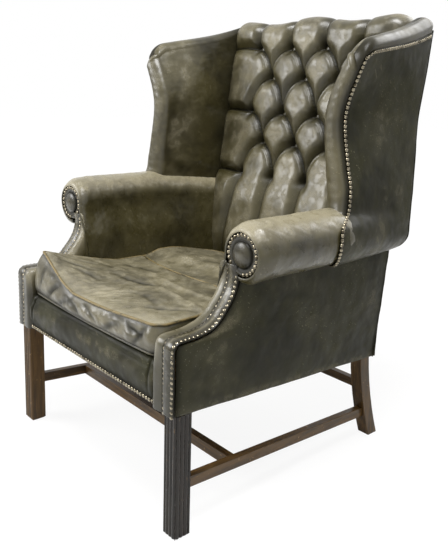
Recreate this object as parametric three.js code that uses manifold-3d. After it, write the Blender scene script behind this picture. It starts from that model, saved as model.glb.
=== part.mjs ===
// Worn wing chair: a mahogany frame on square reeded front legs, covered in leather with a
// deep-buttoned back, scroll arms, swept arm facings and flared wings over a loose cushion.
// Millimetres, +Z up, the sitter faces -Y. The frame is drawn with y = 0 on the front of the
// front legs and is shifted at the end so that the origin lies under the middle of the chair.

import * as THREE from 'three';
import { mergeVertices } from 'three/addons/utils/BufferGeometryUtils.js';
import Module from 'manifold-3d';

const wasm = await Module();
wasm.setup();

// Clearance between a piece and what it is cut by or rests on
const seatGap = 0.3;

// Front legs
const legOuterX = 355;
const legSide = 41;
const reedCount = 3;
const reedMargin = 4;
const reedDepth = 3;
const footChamfer = 4;

// Rear legs, which run on upwards as the posts of the back
const rearLegOuterX = 325;
const rearFootOuterX = 335;
const rearLegSide = 36;
const rearFootKick = 45;
const rearFootBend = 1.8;

// Rake of the back: the outside back lies at backFootY + backRake * z
const backFootY = 660;
const backRake = 0.136;
const leatherPanel = 5;

// Plan taper of the sides towards the back
const sideTaper = 0.03;

// Seat frame: top of the rails and lower edge of the leather, both falling to the back
const seatHeight = 366;
const seatFall = 0.046;
const hemHeight = 289;
const hemFall = 0.075;
const railThickness = 28;
const railAboveHem = 2;
const cornerBlockSide = 58;
const cornerBlockHeight = 34;

// Stretchers
const stretcherHeight = 26;
const stretcherWidth = 19;
const sideStretcherTopFront = 131;
const sideStretcherTopRear = 86;
const medialStretcherY = 185;
const rearStretcherTop = 163;
const rearStretcherHeight = 23;

// Seat platform
const webCount = 5;
const webWidth = 50;
const webThickness = 2.5;
const webPitch = 96;
const deckThickness = 12;
const deckFrontY = 46;
const deckRearSetback = 10;
const dustCoverThickness = 1.5;

// Padded front lip
const lipAboveSeat = 22;
const lipProud = 8;
const lipRearY = 44;

// Arms: scroll on a roll whose centre line runs back and drops under the wing
const rollCentreX = 369;
const rollCentreZ = 616;
const rollRadius = 63;
const rollPad = 20;
const rollFrontY = 170;
const rollBendY = 436;
const rollRearSetback = 9;
const rollRearShiftX = -39;
const rollRearDrop = 22;
const rollRearShrink = 14;
const rollSeamAngle = -103;
const armWallInset = 74;
const armWallLean = 0.094;
const armWallAboveSeat = 6;
const armWallRound = 13;
const armWallProud = 10;
const armRailWidth = 60;
const armRailHeight = 44;
const stumpThickness = 24;
const stumpHeadHeight = 50;
const stumpNeckY = 150;
const stumpNeckAboveSeat = 104;
const stumpFootY = 110;

// Stations along an arm: shares of the way from the front rail to the scroll, and behind its bend
const armFrontStations = [0.35, 0.53, 0.66, 0.765, 0.855, 0.925, 0.965];
const armRearStations = [0, 0.35, 0.72];

// Arm facing: a strip that sweeps back from the front post to a disc on the end of the roll
const facingWidth = 35;
const facingThickness = 8;
const facingFrontY = -5;
const facingKneeAboveSeat = 62;
const facingKneeRadius = 16;
// Sweep from the knee to the scroll: shares of the way back to the roll and up to its centre
const facingSweepShares = [
  [0.353, 0.012], [0.606, 0.076], [0.782, 0.238], [0.924, 0.43], [0.988, 0.634], [0.965, 0.82],
];
const facingDiscRadius = 48;
const facingDiscY = 162;
const facingDomeRadius = 30;
const facingDomeRise = 11;
const facingDiscDrop = 6;
const facingDiscShift = 4;
const facingSeatDepth = 30;

// Wings: matching points of the nailed front edge, the rear edge and the inner face, given as
// distances outwards from the edge of the back
const wingNailFrontY = 456;
const wingNailOut = [59, 47, 30, 38, 67, 92];
const wingRearOut = [40, 33, 23, 24, 26, 28];
const wingInnerOut = [-8, -15, -24, -16, 15, 42];

// Heights of those points: shares of the way from the centre of the roll to the crest
const wingNailRise = [0.2143, 0.3083, 0.4831, 0.5921, 0.7199, 0.812];
const wingRearRise = [0.1579, 0.2895, 0.4962, 0.6278, 0.7782, 0.9511];
const wingInnerDrop = 5;
const wingInnerFrontY = 470;
const wingInnerFootOut = -1;

// Where the wing laps over the arm roll: angles round the roll and how far forward the edge runs
const lapAngles = [-100, -60, -20, 20, 60];
const lapFrontY = [440, 412, 393, 397, 446];
const lapOverRoll = 6;
const seamUnderLap = 6;
const lapRearTop = [379, 652];
const wingInnerRearInset = 16;
const wingRollProud = 20;
const wingTopRise = 22;
const wingTopDip = 12;
const wingPad = 17;
const wingStart = 0.39;
const wingCoreTop = 0.985;
const wingNailSetback = 0.03;
const wingPostWidth = 21;
const wingPostDepth = 32;
const wingRailHeight = 28;
const wingRailDrop = 20;
const wingPostStart = 0.36;
const wingPostEnd = 0.955;
const wingFrameSetback = 0.012;
const wingRailEnd = 0.97;

// Back: crest line, button grid and stuffing
const backHalfWidth = 336;
const backPitDepth = 74;
const backPitRake = 0.149;
const backBelowSeat = 12;
const crestHeight = 1148;
const crestWave = 9;
const crestWavelength = 310;
const crestWaveFade = 0.5;
const crestPadding = 16;
const crestRound = 42;
const crestPleatDepth = 9;
const crestLeatherDrop = 38;
const crestRailDrop = 76;
const crestRailThickness = 26;
const crestRailPastBack = 14;
const stayRailAboveSeat = 29;
const stayRailHeight = 45;
const buttonRise = [0.8926, 0.7801, 0.6471, 0.532, 0.4015];
const buttonPitch = 132;
const tuftHeight = 34;
const foldHeight = 12;
const tuftReach = 52;
const backEdgeStart = 236;
const backEdgeEnd = 330;
const backEdgeSink = 12;
const lumbarRise = 16;
const lumbarBlend = 70;

// Cushion: feather filled, dished in front, its left front corner standing up
const cushionFrontY = 5;
const cushionUnderBack = 11;
const cushionInset = 77;
const cushionAboveSeat = 86;
const cushionEdgeRound = 30;
const cushionCornerLift = 58;
const cushionCornerReachX = 105;
const cushionCornerReachY = 170;
const cushionNearLift = 14;
const cushionBackRise = 13;
const cushionBackRiseY = 350;
const cushionBackRiseLength = 60;
const cushionBackSlopeDelay = 80;
const cushionBackSlope = 26;
const cushionCornerRound = 44;
const cushionEdgeDrop = 16;
const cushionEdgeLift = 9;

// Derived heights
const mix = THREE.MathUtils.lerp;
const backPitFoot = backFootY - backPitDepth;
const deckRearY = backFootY - deckRearSetback;
const cushionRearY = backPitFoot + cushionUnderBack;
const rollRearY = backFootY + backRake * (rollCentreZ - rollRearDrop) - rollRearSetback;
const besideBack = (out) => backHalfWidth + out;
const wingNailX = wingNailOut.map(besideBack);
const wingRearX = wingRearOut.map(besideBack);
const wingInnerX = wingInnerOut.map(besideBack);
const wingInnerFootX = besideBack(wingInnerFootOut);
const wingInnerRearX = besideBack(-wingInnerRearInset);
const crestRailHalf = besideBack(crestRailPastBack);
const lipHeight = seatHeight + lipAboveSeat;
const cushionTop = seatHeight + cushionAboveSeat;
const armWallBottom = seatHeight + armWallAboveSeat;
const facingKneeZ = seatHeight + facingKneeAboveSeat;
const stayRailBottom = seatHeight + stayRailAboveSeat;
const backBottomZ = seatHeight - backBelowSeat;
const crestRailBottom = crestHeight - crestRailDrop;
const buttonRows = buttonRise.map((share) => mix(seatHeight, crestHeight, share));
const wingNailZ = wingNailRise.map((share) => mix(rollCentreZ, crestHeight, share));
const wingRearZ = wingRearRise.map((share) => mix(rollCentreZ, crestHeight, share));
const facingSweep = facingSweepShares.map(([back, up]) => [
  rollFrontY * back,
  mix(facingKneeZ + facingKneeRadius, rollCentreZ, up),
]);

// Derived planes
const backFace = (z) => backFootY + backRake * z;
const postFront = (z) => backFace(z) - leatherPanel - rearLegSide;
const postRear = (z) => backFace(z) - leatherPanel;
const sideX = (y, inset) => legOuterX - inset - sideTaper * y;
const seatTop = (y) => seatHeight - seatFall * y;
const hem = (y) => hemHeight - hemFall * y;
const rearHem = hem(backFootY);
const v3 = (x, y, z) => new THREE.Vector3(x, y, z);

// Finishes
function finish(color, roughness) {
  return new THREE.MeshStandardMaterial({ color, roughness, metalness: 0 });
}

const leather = finish(0x54523d, 0.42);
const darkLeather = finish(0x35352a, 0.42);
const paleLeather = finish(0x6c6851, 0.4);
const polishedMahogany = finish(0x33231a, 0.3);
const fadedMahogany = finish(0x5c4431, 0.45);
const frameBeech = finish(0xb08f66, 0.8);
const webbing = finish(0x8d7752, 0.9);
const platformCloth = finish(0x2c2b28, 0.95);

const chair = new THREE.Group();
chair.name = 'wing_chair';

function addMesh(name, geometry, material) {
  const mesh = new THREE.Mesh(geometry, material);
  mesh.name = name;
  chair.add(mesh);
}

// Adds the right-hand piece and its mirror image on the left
function addPair(name, geometry, material) {
  addMesh(`${name}_right`, geometry, material);
  addMesh(`${name}_left`, mirrored(geometry), material);
}

// Geometry helpers

// Indexed geometry from points and triangles, welded, without empty triangles, facing outwards
function closedGeometry(points, triangles) {
  const raw = new THREE.BufferGeometry();
  const coordinates = points.flatMap((p) => [p.x, p.y, p.z]);
  raw.setAttribute('position', new THREE.Float32BufferAttribute(coordinates, 3));
  raw.setIndex(triangles.flat());
  return outward(welded(raw));
}

function welded(geometry) {
  const bare = geometry.clone();
  bare.deleteAttribute('normal');
  bare.deleteAttribute('uv');
  const merged = mergeVertices(bare, 1e-3);
  const index = merged.index.array;
  const kept = [];
  for (let i = 0; i < index.length; i += 3) {
    const [a, b, c] = [index[i], index[i + 1], index[i + 2]];
    if (a !== b && b !== c && c !== a) kept.push(a, b, c);
  }
  merged.setIndex(kept);
  return merged;
}

function volumeOf(geometry) {
  const [a, b, c] = [v3(), v3(), v3()];
  const { position } = geometry.attributes;
  const index = geometry.index.array;
  let sum = 0;
  for (let i = 0; i < index.length; i += 3) {
    a.fromBufferAttribute(position, index[i]);
    b.fromBufferAttribute(position, index[i + 1]);
    c.fromBufferAttribute(position, index[i + 2]);
    sum += a.dot(b.cross(c)) / 6;
  }
  return sum;
}

function flipped(geometry) {
  const index = Array.from(geometry.index.array);
  for (let i = 0; i < index.length; i += 3) {
    [index[i + 1], index[i + 2]] = [index[i + 2], index[i + 1]];
  }
  geometry.setIndex(index);
  return geometry;
}

const outward = (geometry) => (volumeOf(geometry) < 0 ? flipped(geometry) : geometry);

function mirrored(geometry) {
  return flipped(geometry.clone().scale(-1, 1, 1));
}

// Moves every vertex by a function of its place
function bent(geometry, place) {
  const { position } = geometry.attributes;
  const p = v3();
  for (let i = 0; i < position.count; i += 1) {
    place(p.fromBufferAttribute(position, i));
    position.setXYZ(i, p.x, p.y, p.z);
  }
  return geometry;
}

// Flat cap over a loop of points, seen along its own average normal
function capTriangles(points, loop) {
  const normal = v3();
  loop.forEach((id, k) => normal.add(points[id].clone().cross(points[loop[(k + 1) % loop.length]])));
  const side = Math.abs(normal.z) > 0.9 * normal.length() ? v3(1, 0, 0) : v3(0, 0, 1);
  const across = side.clone().cross(normal).normalize();
  const along = normal.clone().cross(across).normalize();
  const flat = loop.map((id) => new THREE.Vector2(points[id].dot(across), points[id].dot(along)));
  return THREE.ShapeUtils.triangulateShape(flat, []).map((t) => t.map((k) => loop[k]));
}

// Solid through closed loops of points that all have the same number of points
function loft(loops, closeEnd = true) {
  const points = loops.flat();
  const n = loops[0].length;
  const triangles = [];
  for (let i = 0; i + 1 < loops.length; i += 1) {
    for (let j = 0; j < n; j += 1) {
      const a = i * n + j;
      const b = i * n + ((j + 1) % n);
      triangles.push([a, b, b + n], [a, b + n, a + n]);
    }
  }
  const first = loops[0].map((_, j) => j);
  const last = first.map((j) => (loops.length - 1) * n + j);
  triangles.push(...capTriangles(points, first).map(([a, b, c]) => [a, c, b]));
  if (closeEnd) triangles.push(...capTriangles(points, last));
  return closedGeometry(points, triangles);
}

// Closed sheet between two grids of points with the same rows and columns
function slab(front, back) {
  const rows = front.length;
  const columns = front[0].length;
  const points = [...front.flat(), ...back.flat()];
  const half = rows * columns;
  const triangles = [];
  for (let i = 0; i + 1 < rows; i += 1) {
    for (let j = 0; j + 1 < columns; j += 1) {
      const a = i * columns + j;
      const [b, c, d] = [a + 1, a + columns + 1, a + columns];
      triangles.push(...valleySplit(points, a, b, c, d));
      triangles.push([half + a, half + c, half + b], [half + a, half + d, half + c]);
    }
  }
  const rim = [];
  for (let j = 0; j < columns - 1; j += 1) rim.push(j);
  for (let i = 0; i < rows - 1; i += 1) rim.push(i * columns + columns - 1);
  for (let j = columns - 1; j > 0; j -= 1) rim.push((rows - 1) * columns + j);
  for (let i = rows - 1; i > 0; i -= 1) rim.push(i * columns);
  rim.forEach((a, k) => {
    const b = rim[(k + 1) % rim.length];
    triangles.push([a, half + b, b], [a, half + a, half + b]);
  });
  return closedGeometry(points, triangles);
}

// Splits a quad along the diagonal that lies deeper (larger y), so that folds stay sharp
function valleySplit(points, a, b, c, d) {
  const first = points[a].y + points[c].y;
  const second = points[b].y + points[d].y;
  return first >= second ? [[a, b, c], [a, c, d]] : [[a, b, d], [b, c, d]];
}

// Straight block between two sections, each given as its corners in order
function block(ends) {
  return loft(ends.map((corners) => corners.map(([x, y, z]) => v3(x, y, z))));
}

function boxBetween(low, high) {
  const box = new THREE.BoxGeometry(high[0] - low[0], high[1] - low[1], high[2] - low[2]);
  box.translate((low[0] + high[0]) / 2, (low[1] + high[1]) / 2, (low[2] + high[2]) / 2);
  return welded(box);
}

// Joining and cutting

function toSolid(geometry) {
  const vertProperties = new Float32Array(geometry.attributes.position.array);
  const triVerts = new Uint32Array(geometry.index.array);
  return new wasm.Manifold(new wasm.Mesh({ numProp: 3, vertProperties, triVerts }));
}

function fromSolid(solid) {
  const mesh = solid.getMesh();
  const geometry = new THREE.BufferGeometry();
  geometry.setAttribute('position', new THREE.Float32BufferAttribute(mesh.vertProperties, 3));
  geometry.setIndex(Array.from(mesh.triVerts));
  return geometry;
}

// Largest of the separate bodies that a cut may leave
function mainBody(solid) {
  const bodies = solid.decompose();
  return bodies.reduce((best, body) => (body.volume() > best.volume() ? body : best), bodies[0]);
}

const joined = (...geometries) => fromSolid(geometries.map(toSolid).reduce((sum, next) => sum.add(next)));

// Cuts a geometry by its neighbours, each first grown by the seat gap
function cutBy(geometry, ...neighbours) {
  const tools = neighbours.map((tool) => toSolid(grown(tool, seatGap)));
  const left = tools.reduce((rest, tool) => rest.subtract(tool), toSolid(geometry));
  return fromSolid(mainBody(left));
}

// Copy whose faces all lie further out by the given distance
function grown(geometry, distance) {
  const source = welded(geometry);
  const { position } = source.attributes;
  const index = source.index.array;
  const facing = Array.from({ length: position.count }, () => []);
  const corner = [v3(), v3(), v3()];
  for (let i = 0; i < index.length; i += 3) {
    corner.forEach((p, k) => p.fromBufferAttribute(position, index[i + k]));
    const normal = corner[1].clone().sub(corner[0]).cross(corner[2].clone().sub(corner[0]));
    if (normal.length() < 1e-6) continue;
    normal.normalize();
    for (let k = 0; k < 3; k += 1) {
      const list = facing[index[i + k]];
      if (!list.some((n) => n.dot(normal) > 0.999)) list.push(normal);
    }
  }
  facing.forEach((normals, id) => {
    const moved = offsetFor(normals, distance);
    moved.add(v3(position.getX(id), position.getY(id), position.getZ(id)));
    position.setXYZ(id, moved.x, moved.y, moved.z);
  });
  return source;
}

// Shortest move of a corner that carries each of its faces outwards by the distance
function offsetFor(normals, distance) {
  const move = v3();
  const passes = 24;
  for (let pass = 0; pass < passes; pass += 1) {
    for (const normal of normals) {
      const short = distance - move.dot(normal);
      if (short > 0) move.addScaledVector(normal, short);
    }
  }
  return move.clampLength(0, 4 * distance);
}

// Front legs

// Square section whose front and outer faces carry reeds, drawn with the outer front corner at 0,0
function reededSection(side) {
  const outline = [[0, 0]];
  const reedWidth = (side - 2 * reedMargin) / reedCount;
  const steps = 6;
  const reedLine = [];
  for (let reed = 0; reed < reedCount; reed += 1) {
    for (let k = 0; k <= steps; k += 1) {
      const along = reedMargin + (reed + k / steps) * reedWidth;
      const depth = reedDepth * (1 - Math.sin((Math.PI * k) / steps));
      reedLine.push([along, depth]);
    }
  }
  reedLine.forEach(([along, depth]) => outline.push([-along, depth]));
  outline.push([-side, 0], [-side, side], [0, side]);
  [...reedLine].reverse().forEach(([along, depth]) => outline.push([-depth, along]));
  return outline;
}

function frontLeg() {
  const outline = reededSection(legSide);
  const shaft = (z, inset) => outline.map(([x, y]) => {
    const shrink = 1 - (2 * inset) / legSide;
    const across = legOuterX - legSide / 2 + (x + legSide / 2) * shrink;
    return v3(across, legSide / 2 + (y - legSide / 2) * shrink, z);
  });
  const reeded = loft([shaft(0, footChamfer), shaft(footChamfer, 0), shaft(hem(legSide) - seatGap, 0)]);
  const top = boxBetween(
    [legOuterX - legSide, leatherPanel, hemHeight - 2 * footChamfer],
    [legOuterX - leatherPanel - seatGap - sideTaper * legSide, legSide, seatTop(legSide)],
  );
  return joined(reeded, top);
}

// Rear legs

function rearLegRear(z) {
  if (z >= rearHem) return postRear(z);
  return postRear(rearHem) + rearFootKick * (1 - z / rearHem) ** rearFootBend;
}

function rearLegOuter(z) {
  if (z >= rearHem) return rearLegOuterX;
  return mix(rearFootOuterX, rearLegOuterX, z / rearHem);
}

function rearLeg() {
  const bends = 7;
  const levels = Array.from({ length: bends }, (_, k) => (rearHem * k) / (bends - 1));
  levels.push(crestRailBottom - seatGap);
  return loft(levels.map((z) => {
    const outer = rearLegOuter(z);
    const rear = rearLegRear(z);
    return [
      v3(outer - rearLegSide, rear - rearLegSide, z), v3(outer, rear - rearLegSide, z),
      v3(outer, rear, z), v3(outer - rearLegSide, rear, z),
    ];
  }));
}

// Seat rails and corner blocks

function frontSeatRail() {
  const half = legOuterX - legSide - seatGap;
  const [front, rear] = [leatherPanel, leatherPanel + railThickness];
  const low = (y) => hem(y) + railAboveHem;
  const section = [
    [front, low(front)], [rear, low(rear)], [rear, seatTop(rear)], [front, seatTop(front)],
  ];
  return block([-half, half].map((x) => section.map(([y, z]) => [x, y, z])));
}

function backSeatRail() {
  const half = rearLegOuterX - rearLegSide - seatGap;
  const rear = postRear(rearHem);
  const front = rear - railThickness;
  const low = hem(front) + railAboveHem;
  const section = [[front, low], [rear, low], [rear, seatTop(rear)], [front, seatTop(front)]];
  return block([-half, half].map((x) => section.map(([y, z]) => [x, y, z])));
}

function sideSeatRail() {
  const ends = [legSide + seatGap, postFront(seatTop(backFootY)) - seatGap];
  const inset = leatherPanel + seatGap;
  return block(ends.map((y, k) => {
    const lowY = k === 0 ? y : postFront(hem(y)) - seatGap;
    const outer = sideX(y, inset);
    const inner = outer - railThickness;
    const low = hem(y) + railAboveHem;
    return [[inner, lowY, low], [outer, lowY, low], [outer, y, seatTop(y)], [inner, y, seatTop(y)]];
  }));
}

function cornerBlock(cornerX, cornerY, towardsY) {
  const top = seatTop(cornerY) - cornerBlockHeight / 2;
  const shape = [
    [cornerX, cornerY],
    [cornerX - cornerBlockSide, cornerY],
    [cornerX, cornerY + towardsY * cornerBlockSide],
  ];
  return loft([top - cornerBlockHeight, top].map((z) => shape.map(([x, y]) => v3(x, y, z))));
}

// Stretchers

// Bar between two points on the middle of its top face, with its width across x or y
function bar(start, end, height, widthAxis) {
  const across = widthAxis === 'x' ? [stretcherWidth / 2, 0] : [0, stretcherWidth / 2];
  const corners = ([x, y, top]) => [[-1, -height], [1, -height], [1, 0], [-1, 0]].map(
    ([side, drop]) => [x + side * across[0], y + side * across[1], top + drop],
  );
  return block([corners(start), corners(end)]);
}

const alongSide = (y) => (y - legSide) / (backFootY - legSide);
const sideStretcherTop = (y) => mix(sideStretcherTopFront, sideStretcherTopRear, alongSide(y));
const sideStretcherX = (y) => mix(
  legOuterX - legSide / 2,
  rearLegOuter(sideStretcherTopRear) - rearLegSide / 2,
  alongSide(y),
);

function sideStretcher() {
  const rearY = backFootY + rearLegSide;
  const start = [sideStretcherX(legSide), legSide + seatGap, sideStretcherTop(legSide)];
  const end = [sideStretcherX(rearY), rearY, sideStretcherTop(rearY)];
  return cutBy(bar(start, end, stretcherHeight, 'x'), rearLeg());
}

function medialStretcher() {
  const half = sideStretcherX(medialStretcherY);
  const top = sideStretcherTop(medialStretcherY);
  const raw = bar([-half, medialStretcherY, top], [half, medialStretcherY, top], stretcherHeight, 'y');
  return cutBy(raw, sideStretcher(), mirrored(sideStretcher()));
}

function rearStretcher() {
  const middle = rearStretcherTop - rearStretcherHeight / 2;
  const half = rearLegOuter(middle) - rearLegSide / 2;
  const y = rearLegRear(middle) - rearLegSide / 2;
  const raw = bar([-half, y, rearStretcherTop], [half, y, rearStretcherTop], rearStretcherHeight, 'y');
  return cutBy(raw, rearLeg(), mirrored(rearLeg()));
}

// Rails of the back

const crestFade = (x) => 1 - (crestWaveFade * Math.abs(x)) / backHalfWidth;
const crestTurn = (x) => (2 * Math.PI * x) / crestWavelength;
const crestZ = (x) => crestHeight + crestWave * crestFade(x) * Math.cos(crestTurn(x));

function crestRail() {
  const steps = 16;
  return loft(Array.from({ length: steps + 1 }, (_, k) => {
    const x = mix(-crestRailHalf, crestRailHalf, k / steps);
    const top = crestZ(x) - crestPadding;
    const corner = (z, depth) => v3(x, postRear(z) - depth, z);
    return [
      corner(crestRailBottom, crestRailThickness), corner(crestRailBottom, 0),
      corner(top, 0), corner(top, crestRailThickness),
    ];
  }));
}

function stayRail() {
  const half = rearLegOuterX - rearLegSide - seatGap;
  const [low, high] = [stayRailBottom, stayRailBottom + stayRailHeight];
  const section = [
    [postFront(low), low], [postFront(low) + railThickness, low],
    [postFront(high) + railThickness, high], [postFront(high), high],
  ];
  return block([-half, half].map((x) => section.map(([y, z]) => [x, y, z])));
}

// Arms

const smooth = (value) => THREE.MathUtils.smoothstep(value, 0, 1);
const rollShare = (y) => THREE.MathUtils.clamp((y - rollBendY) / (rollRearY - rollBendY), 0, 1);
const rollX = (y) => rollCentreX + rollRearShiftX * rollShare(y);
const rollZ = (y) => rollCentreZ - rollRearDrop * rollShare(y);
const rollR = (y) => rollRadius - rollRearShrink * rollShare(y);
const rollStations = armRearStations.map((share) => mix(rollBendY, rollRearY, share));

// Line of the front of the arm in the y-z plane, moved outwards by an offset
function facingLine(offset) {
  const path = new THREE.Path();
  path.moveTo(facingFrontY, hemHeight);
  path.lineTo(facingFrontY, facingKneeZ);
  const kneeTop = facingKneeZ + facingKneeRadius;
  path.quadraticCurveTo(facingFrontY, kneeTop, facingFrontY + facingKneeRadius, kneeTop);
  path.splineThru(facingSweep.map(([y, z]) => new THREE.Vector2(y, z)));
  const raw = path.getPoints(3);
  const points = raw.filter((p, k) => k === 0 || p.distanceTo(raw[k - 1]) > 1);
  return points.map((p, k) => {
    const before = points[Math.max(k - 1, 0)];
    const after = points[Math.min(k + 1, points.length - 1)];
    const tangent = after.clone().sub(before).normalize();
    return new THREE.Vector2(p.x - tangent.y * offset, p.y + tangent.x * offset);
  });
}

// Prism of a y-z outline across x, which follows the taper of the side
function sidePrism(outline, inset, thickness) {
  const options = { depth: thickness, bevelEnabled: false, curveSegments: 1 };
  const geometry = welded(new THREE.ExtrudeGeometry(new THREE.Shape(outline), options));
  return outward(bent(geometry, (p) => p.set(sideX(p.x, inset) - p.z, p.x, p.y)));
}

// Nailed strip of the arm front, with the disc and the padded dome on the end of the scroll
function armFacing() {
  const front = facingLine(0);
  const back = facingLine(-facingThickness).reverse();
  const strip = sidePrism([...front, ...back], 0, facingWidth);
  const centre = v3(rollCentreX - facingDiscShift, facingDiscY, rollCentreZ - facingDiscDrop);
  const [r, sides] = [facingDiscRadius, 20];
  const disc = welded(new THREE.CylinderGeometry(r, r, facingThickness, sides));
  disc.translate(centre.x, centre.y + facingThickness / 2, centre.z);
  const dome = new THREE.SphereGeometry(facingDomeRadius, 14, 8).rotateX(Math.PI / 2);
  dome.scale(1, facingDomeRise / facingDomeRadius, 1);
  const placedDome = welded(dome).translate(centre.x, centre.y + seatGap, centre.z);
  return joined(strip, outward(disc), outward(placedDome));
}

// Padded inner wall of the arm, its front and top edges rounded over
function armWall() {
  const line = facingLine(armWallProud).filter((p) => p.x < rollFrontY - 3);
  line.forEach((p) => { p.x = Math.max(p.x, facingFrontY); });
  line[0].y = hemHeight;
  const edge = [
    ...line, new THREE.Vector2(rollFrontY + 2, rollCentreZ),
    new THREE.Vector2(rollBendY, rollCentreZ), new THREE.Vector2(rollRearY, rollZ(rollRearY)),
  ];
  const rise = edge.filter((p, k) => k > 0 && p.x > edge[k - 1].x + 0.5);
  const topAt = (y) => {
    const k = Math.max(1, rise.findIndex((p) => p.x >= y));
    const share = (y - rise[k - 1].x) / (rise[k].x - rise[k - 1].x);
    return mix(rise[k - 1].y, rise[k].y, THREE.MathUtils.clamp(share, 0, 1));
  };
  const toEdge = (y, z) => Math.min(...edge.slice(1).map((q, k) => {
    const p = edge[k];
    const [dy, dz] = [q.x - p.x, q.y - p.y];
    const share = THREE.MathUtils.clamp(((y - p.x) * dy + (z - p.y) * dz) / (dy * dy + dz * dz), 0, 1);
    return Math.hypot(y - p.x - share * dy, z - p.y - share * dz);
  }));
  const stepY = railThickness;
  const ys = [
    facingFrontY, facingFrontY + 4, facingFrontY + 13, stepY, stepY + 0.5,
    ...armFrontStations.map((share) => rollFrontY * share), rollFrontY, ...rollStations,
  ];
  const shares = [0, 0.6, 0.86, 0.95, 1];
  const grid = (inset, round) => ys.map((y) => shares.map((share) => {
    const low = y > stepY ? armWallBottom : hemHeight;
    const z = mix(low, Math.max(topAt(y), topAt(rise[0].x)), share);
    const near = 1 - Math.min(toEdge(y, z) / armWallRound, 1);
    const turn = round ? armWallRound * (1 - Math.sqrt(1 - near * near)) : 0;
    const rearShift = y === rollStations.at(-1) ? postFront(z) - seatGap - y : 0;
    const lean = round ? armWallLean * Math.max(0, z - armWallBottom) : 0;
    return v3(sideX(y, inset) + turn + lean, y + rearShift, z);
  }));
  return slab(grid(armWallInset, true), grid(facingWidth + seatGap, false));
}

function armRoll() {
  const middle = mix(rollFrontY, rollBendY, 0.5);
  const stations = [rollFrontY + seatGap, rollFrontY + 4, rollFrontY + 12, middle, ...rollStations];
  const steps = 12;
  const grid = (depth) => stations.map((y, k) => {
    const edge = [9, 3, 0][k] ?? 0;
    return Array.from({ length: steps + 1 }, (_, j) => {
      const angle = THREE.MathUtils.degToRad(mix(190, rollSeamAngle, j / steps));
      const r = rollR(y) - (depth === 0 ? edge : depth);
      return v3(rollX(y) + r * Math.cos(angle), y, rollZ(y) + r * Math.sin(angle));
    });
  });
  return slab(grid(0), grid(rollPad));
}

function armRail() {
  const front = rollFrontY + facingThickness + seatGap;
  const rear = postFront(rollCentreZ - rollRearDrop - armRailHeight) - seatGap;
  const stations = [front, mix(front, rollBendY, 0.5), rollBendY, mix(rollBendY, rear, 0.5), rear];
  return loft(stations.map((y) => {
    const [x, z] = [rollX(y), rollZ(y)];
    const [w, h] = [armRailWidth / 2, armRailHeight / 2];
    return [v3(x - w, y, z - h), v3(x + w, y, z - h), v3(x + w, y, z + h), v3(x - w, y, z + h)];
  }));
}

function armStump() {
  const behind = facingThickness + seatGap;
  const stumpTop = rollCentreZ - armRailHeight / 2 - seatGap;
  const front = facingLine(-behind).filter((p) => p.y > seatHeight + 1 && p.y < stumpTop - 1);
  const outline = [
    new THREE.Vector2(front[0].x, seatTop(0) + seatGap), ...front,
    new THREE.Vector2(front.at(-1).x + 3, stumpTop),
    new THREE.Vector2(rollBendY / 2, stumpTop),
    new THREE.Vector2(rollBendY / 2, stumpTop - stumpHeadHeight),
    new THREE.Vector2(stumpNeckY, seatHeight + stumpNeckAboveSeat),
    new THREE.Vector2(stumpFootY, seatTop(stumpFootY) + seatGap),
  ];
  return sidePrism(outline, leatherPanel + seatGap, stumpThickness);
}


// Top of the outside panel: it follows the lower edge of the roll and then that of the wing
function seamZ(y) {
  const sine = (angle) => Math.sin(THREE.MathUtils.degToRad(angle));
  const under = (at, out, angle) => rollZ(at) + (rollR(at) + out) * sine(angle);
  const front = under(rollFrontY, 0, rollSeamAngle) - 2 * seatGap;
  const rear = under(rollRearY, lapOverRoll, lapAngles[0]) - seamUnderLap;
  return mix(front, rear, smooth((y - rollBendY) / (rollRearY - rollBendY)));
}

function outsideArm() {
  const line = facingLine(-facingThickness - seatGap).filter((p) => p.y < seamZ(0) - 1);
  line[0].y = hem(line[0].x);
  const rear = (z) => backFace(z) - leatherPanel - seatGap;
  const steps = 6;
  const top = Array.from({ length: steps + 1 }, (_, k) => {
    const y = mix(line.at(-1).x + 4, rear(seamZ(rollRearY)), k / steps);
    return new THREE.Vector2(y, seamZ(y) - seatGap);
  });
  const foot = new THREE.Vector2(rear(hem(backFootY)), hem(backFootY));
  return sidePrism([...line, ...top, foot], 0, leatherPanel);
}

// Wings

function curveThrough(points) {
  return new THREE.CatmullRomCurve3(points.map((p) => v3(...p)), false, 'catmullrom', 0.5);
}

const lapPoint = (y, angle) => {
  const turn = THREE.MathUtils.degToRad(angle);
  const r = rollR(y) + lapOverRoll;
  return [rollX(y) + r * Math.cos(turn), rollZ(y) + r * Math.sin(turn)];
};
const lapNail = lapAngles.map((angle, k) => {
  const [x, z] = lapPoint(lapFrontY[k], angle);
  return [x, lapFrontY[k], z];
});
const lapRear = [...lapAngles.slice(0, -1).map((angle) => lapPoint(rollRearY, angle)), lapRearTop];
const wingRearLine = [...lapRear, ...wingRearX.map((x, k) => [x, wingRearZ[k]])];
const nailCurve = curveThrough([
  ...lapNail,
  ...wingNailX.map((x, k) => [x, wingNailFrontY, wingNailZ[k]]),
]);
const behindPanel = (z) => backFace(z) - leatherPanel - seatGap;
const rearCurve = curveThrough(wingRearLine.map(([x, z]) => [x, behindPanel(z), z]));
const wingInnerTopZ = wingNailZ.at(-1) - wingInnerDrop;
const innerCurve = curveThrough([
  ...lapNail.map(([, , z]) => [wingInnerFootX, wingInnerFrontY, z]),
  ...wingInnerX.map((x, k) => [x, wingInnerFrontY, Math.min(wingNailZ[k], wingInnerTopZ)]),
]);
const besidePost = (z) => postFront(z) - seatGap;
const innerRearCurve = curveThrough(wingRearLine.map(([, z]) => [wingInnerRearX, besidePost(z), z]));

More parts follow.
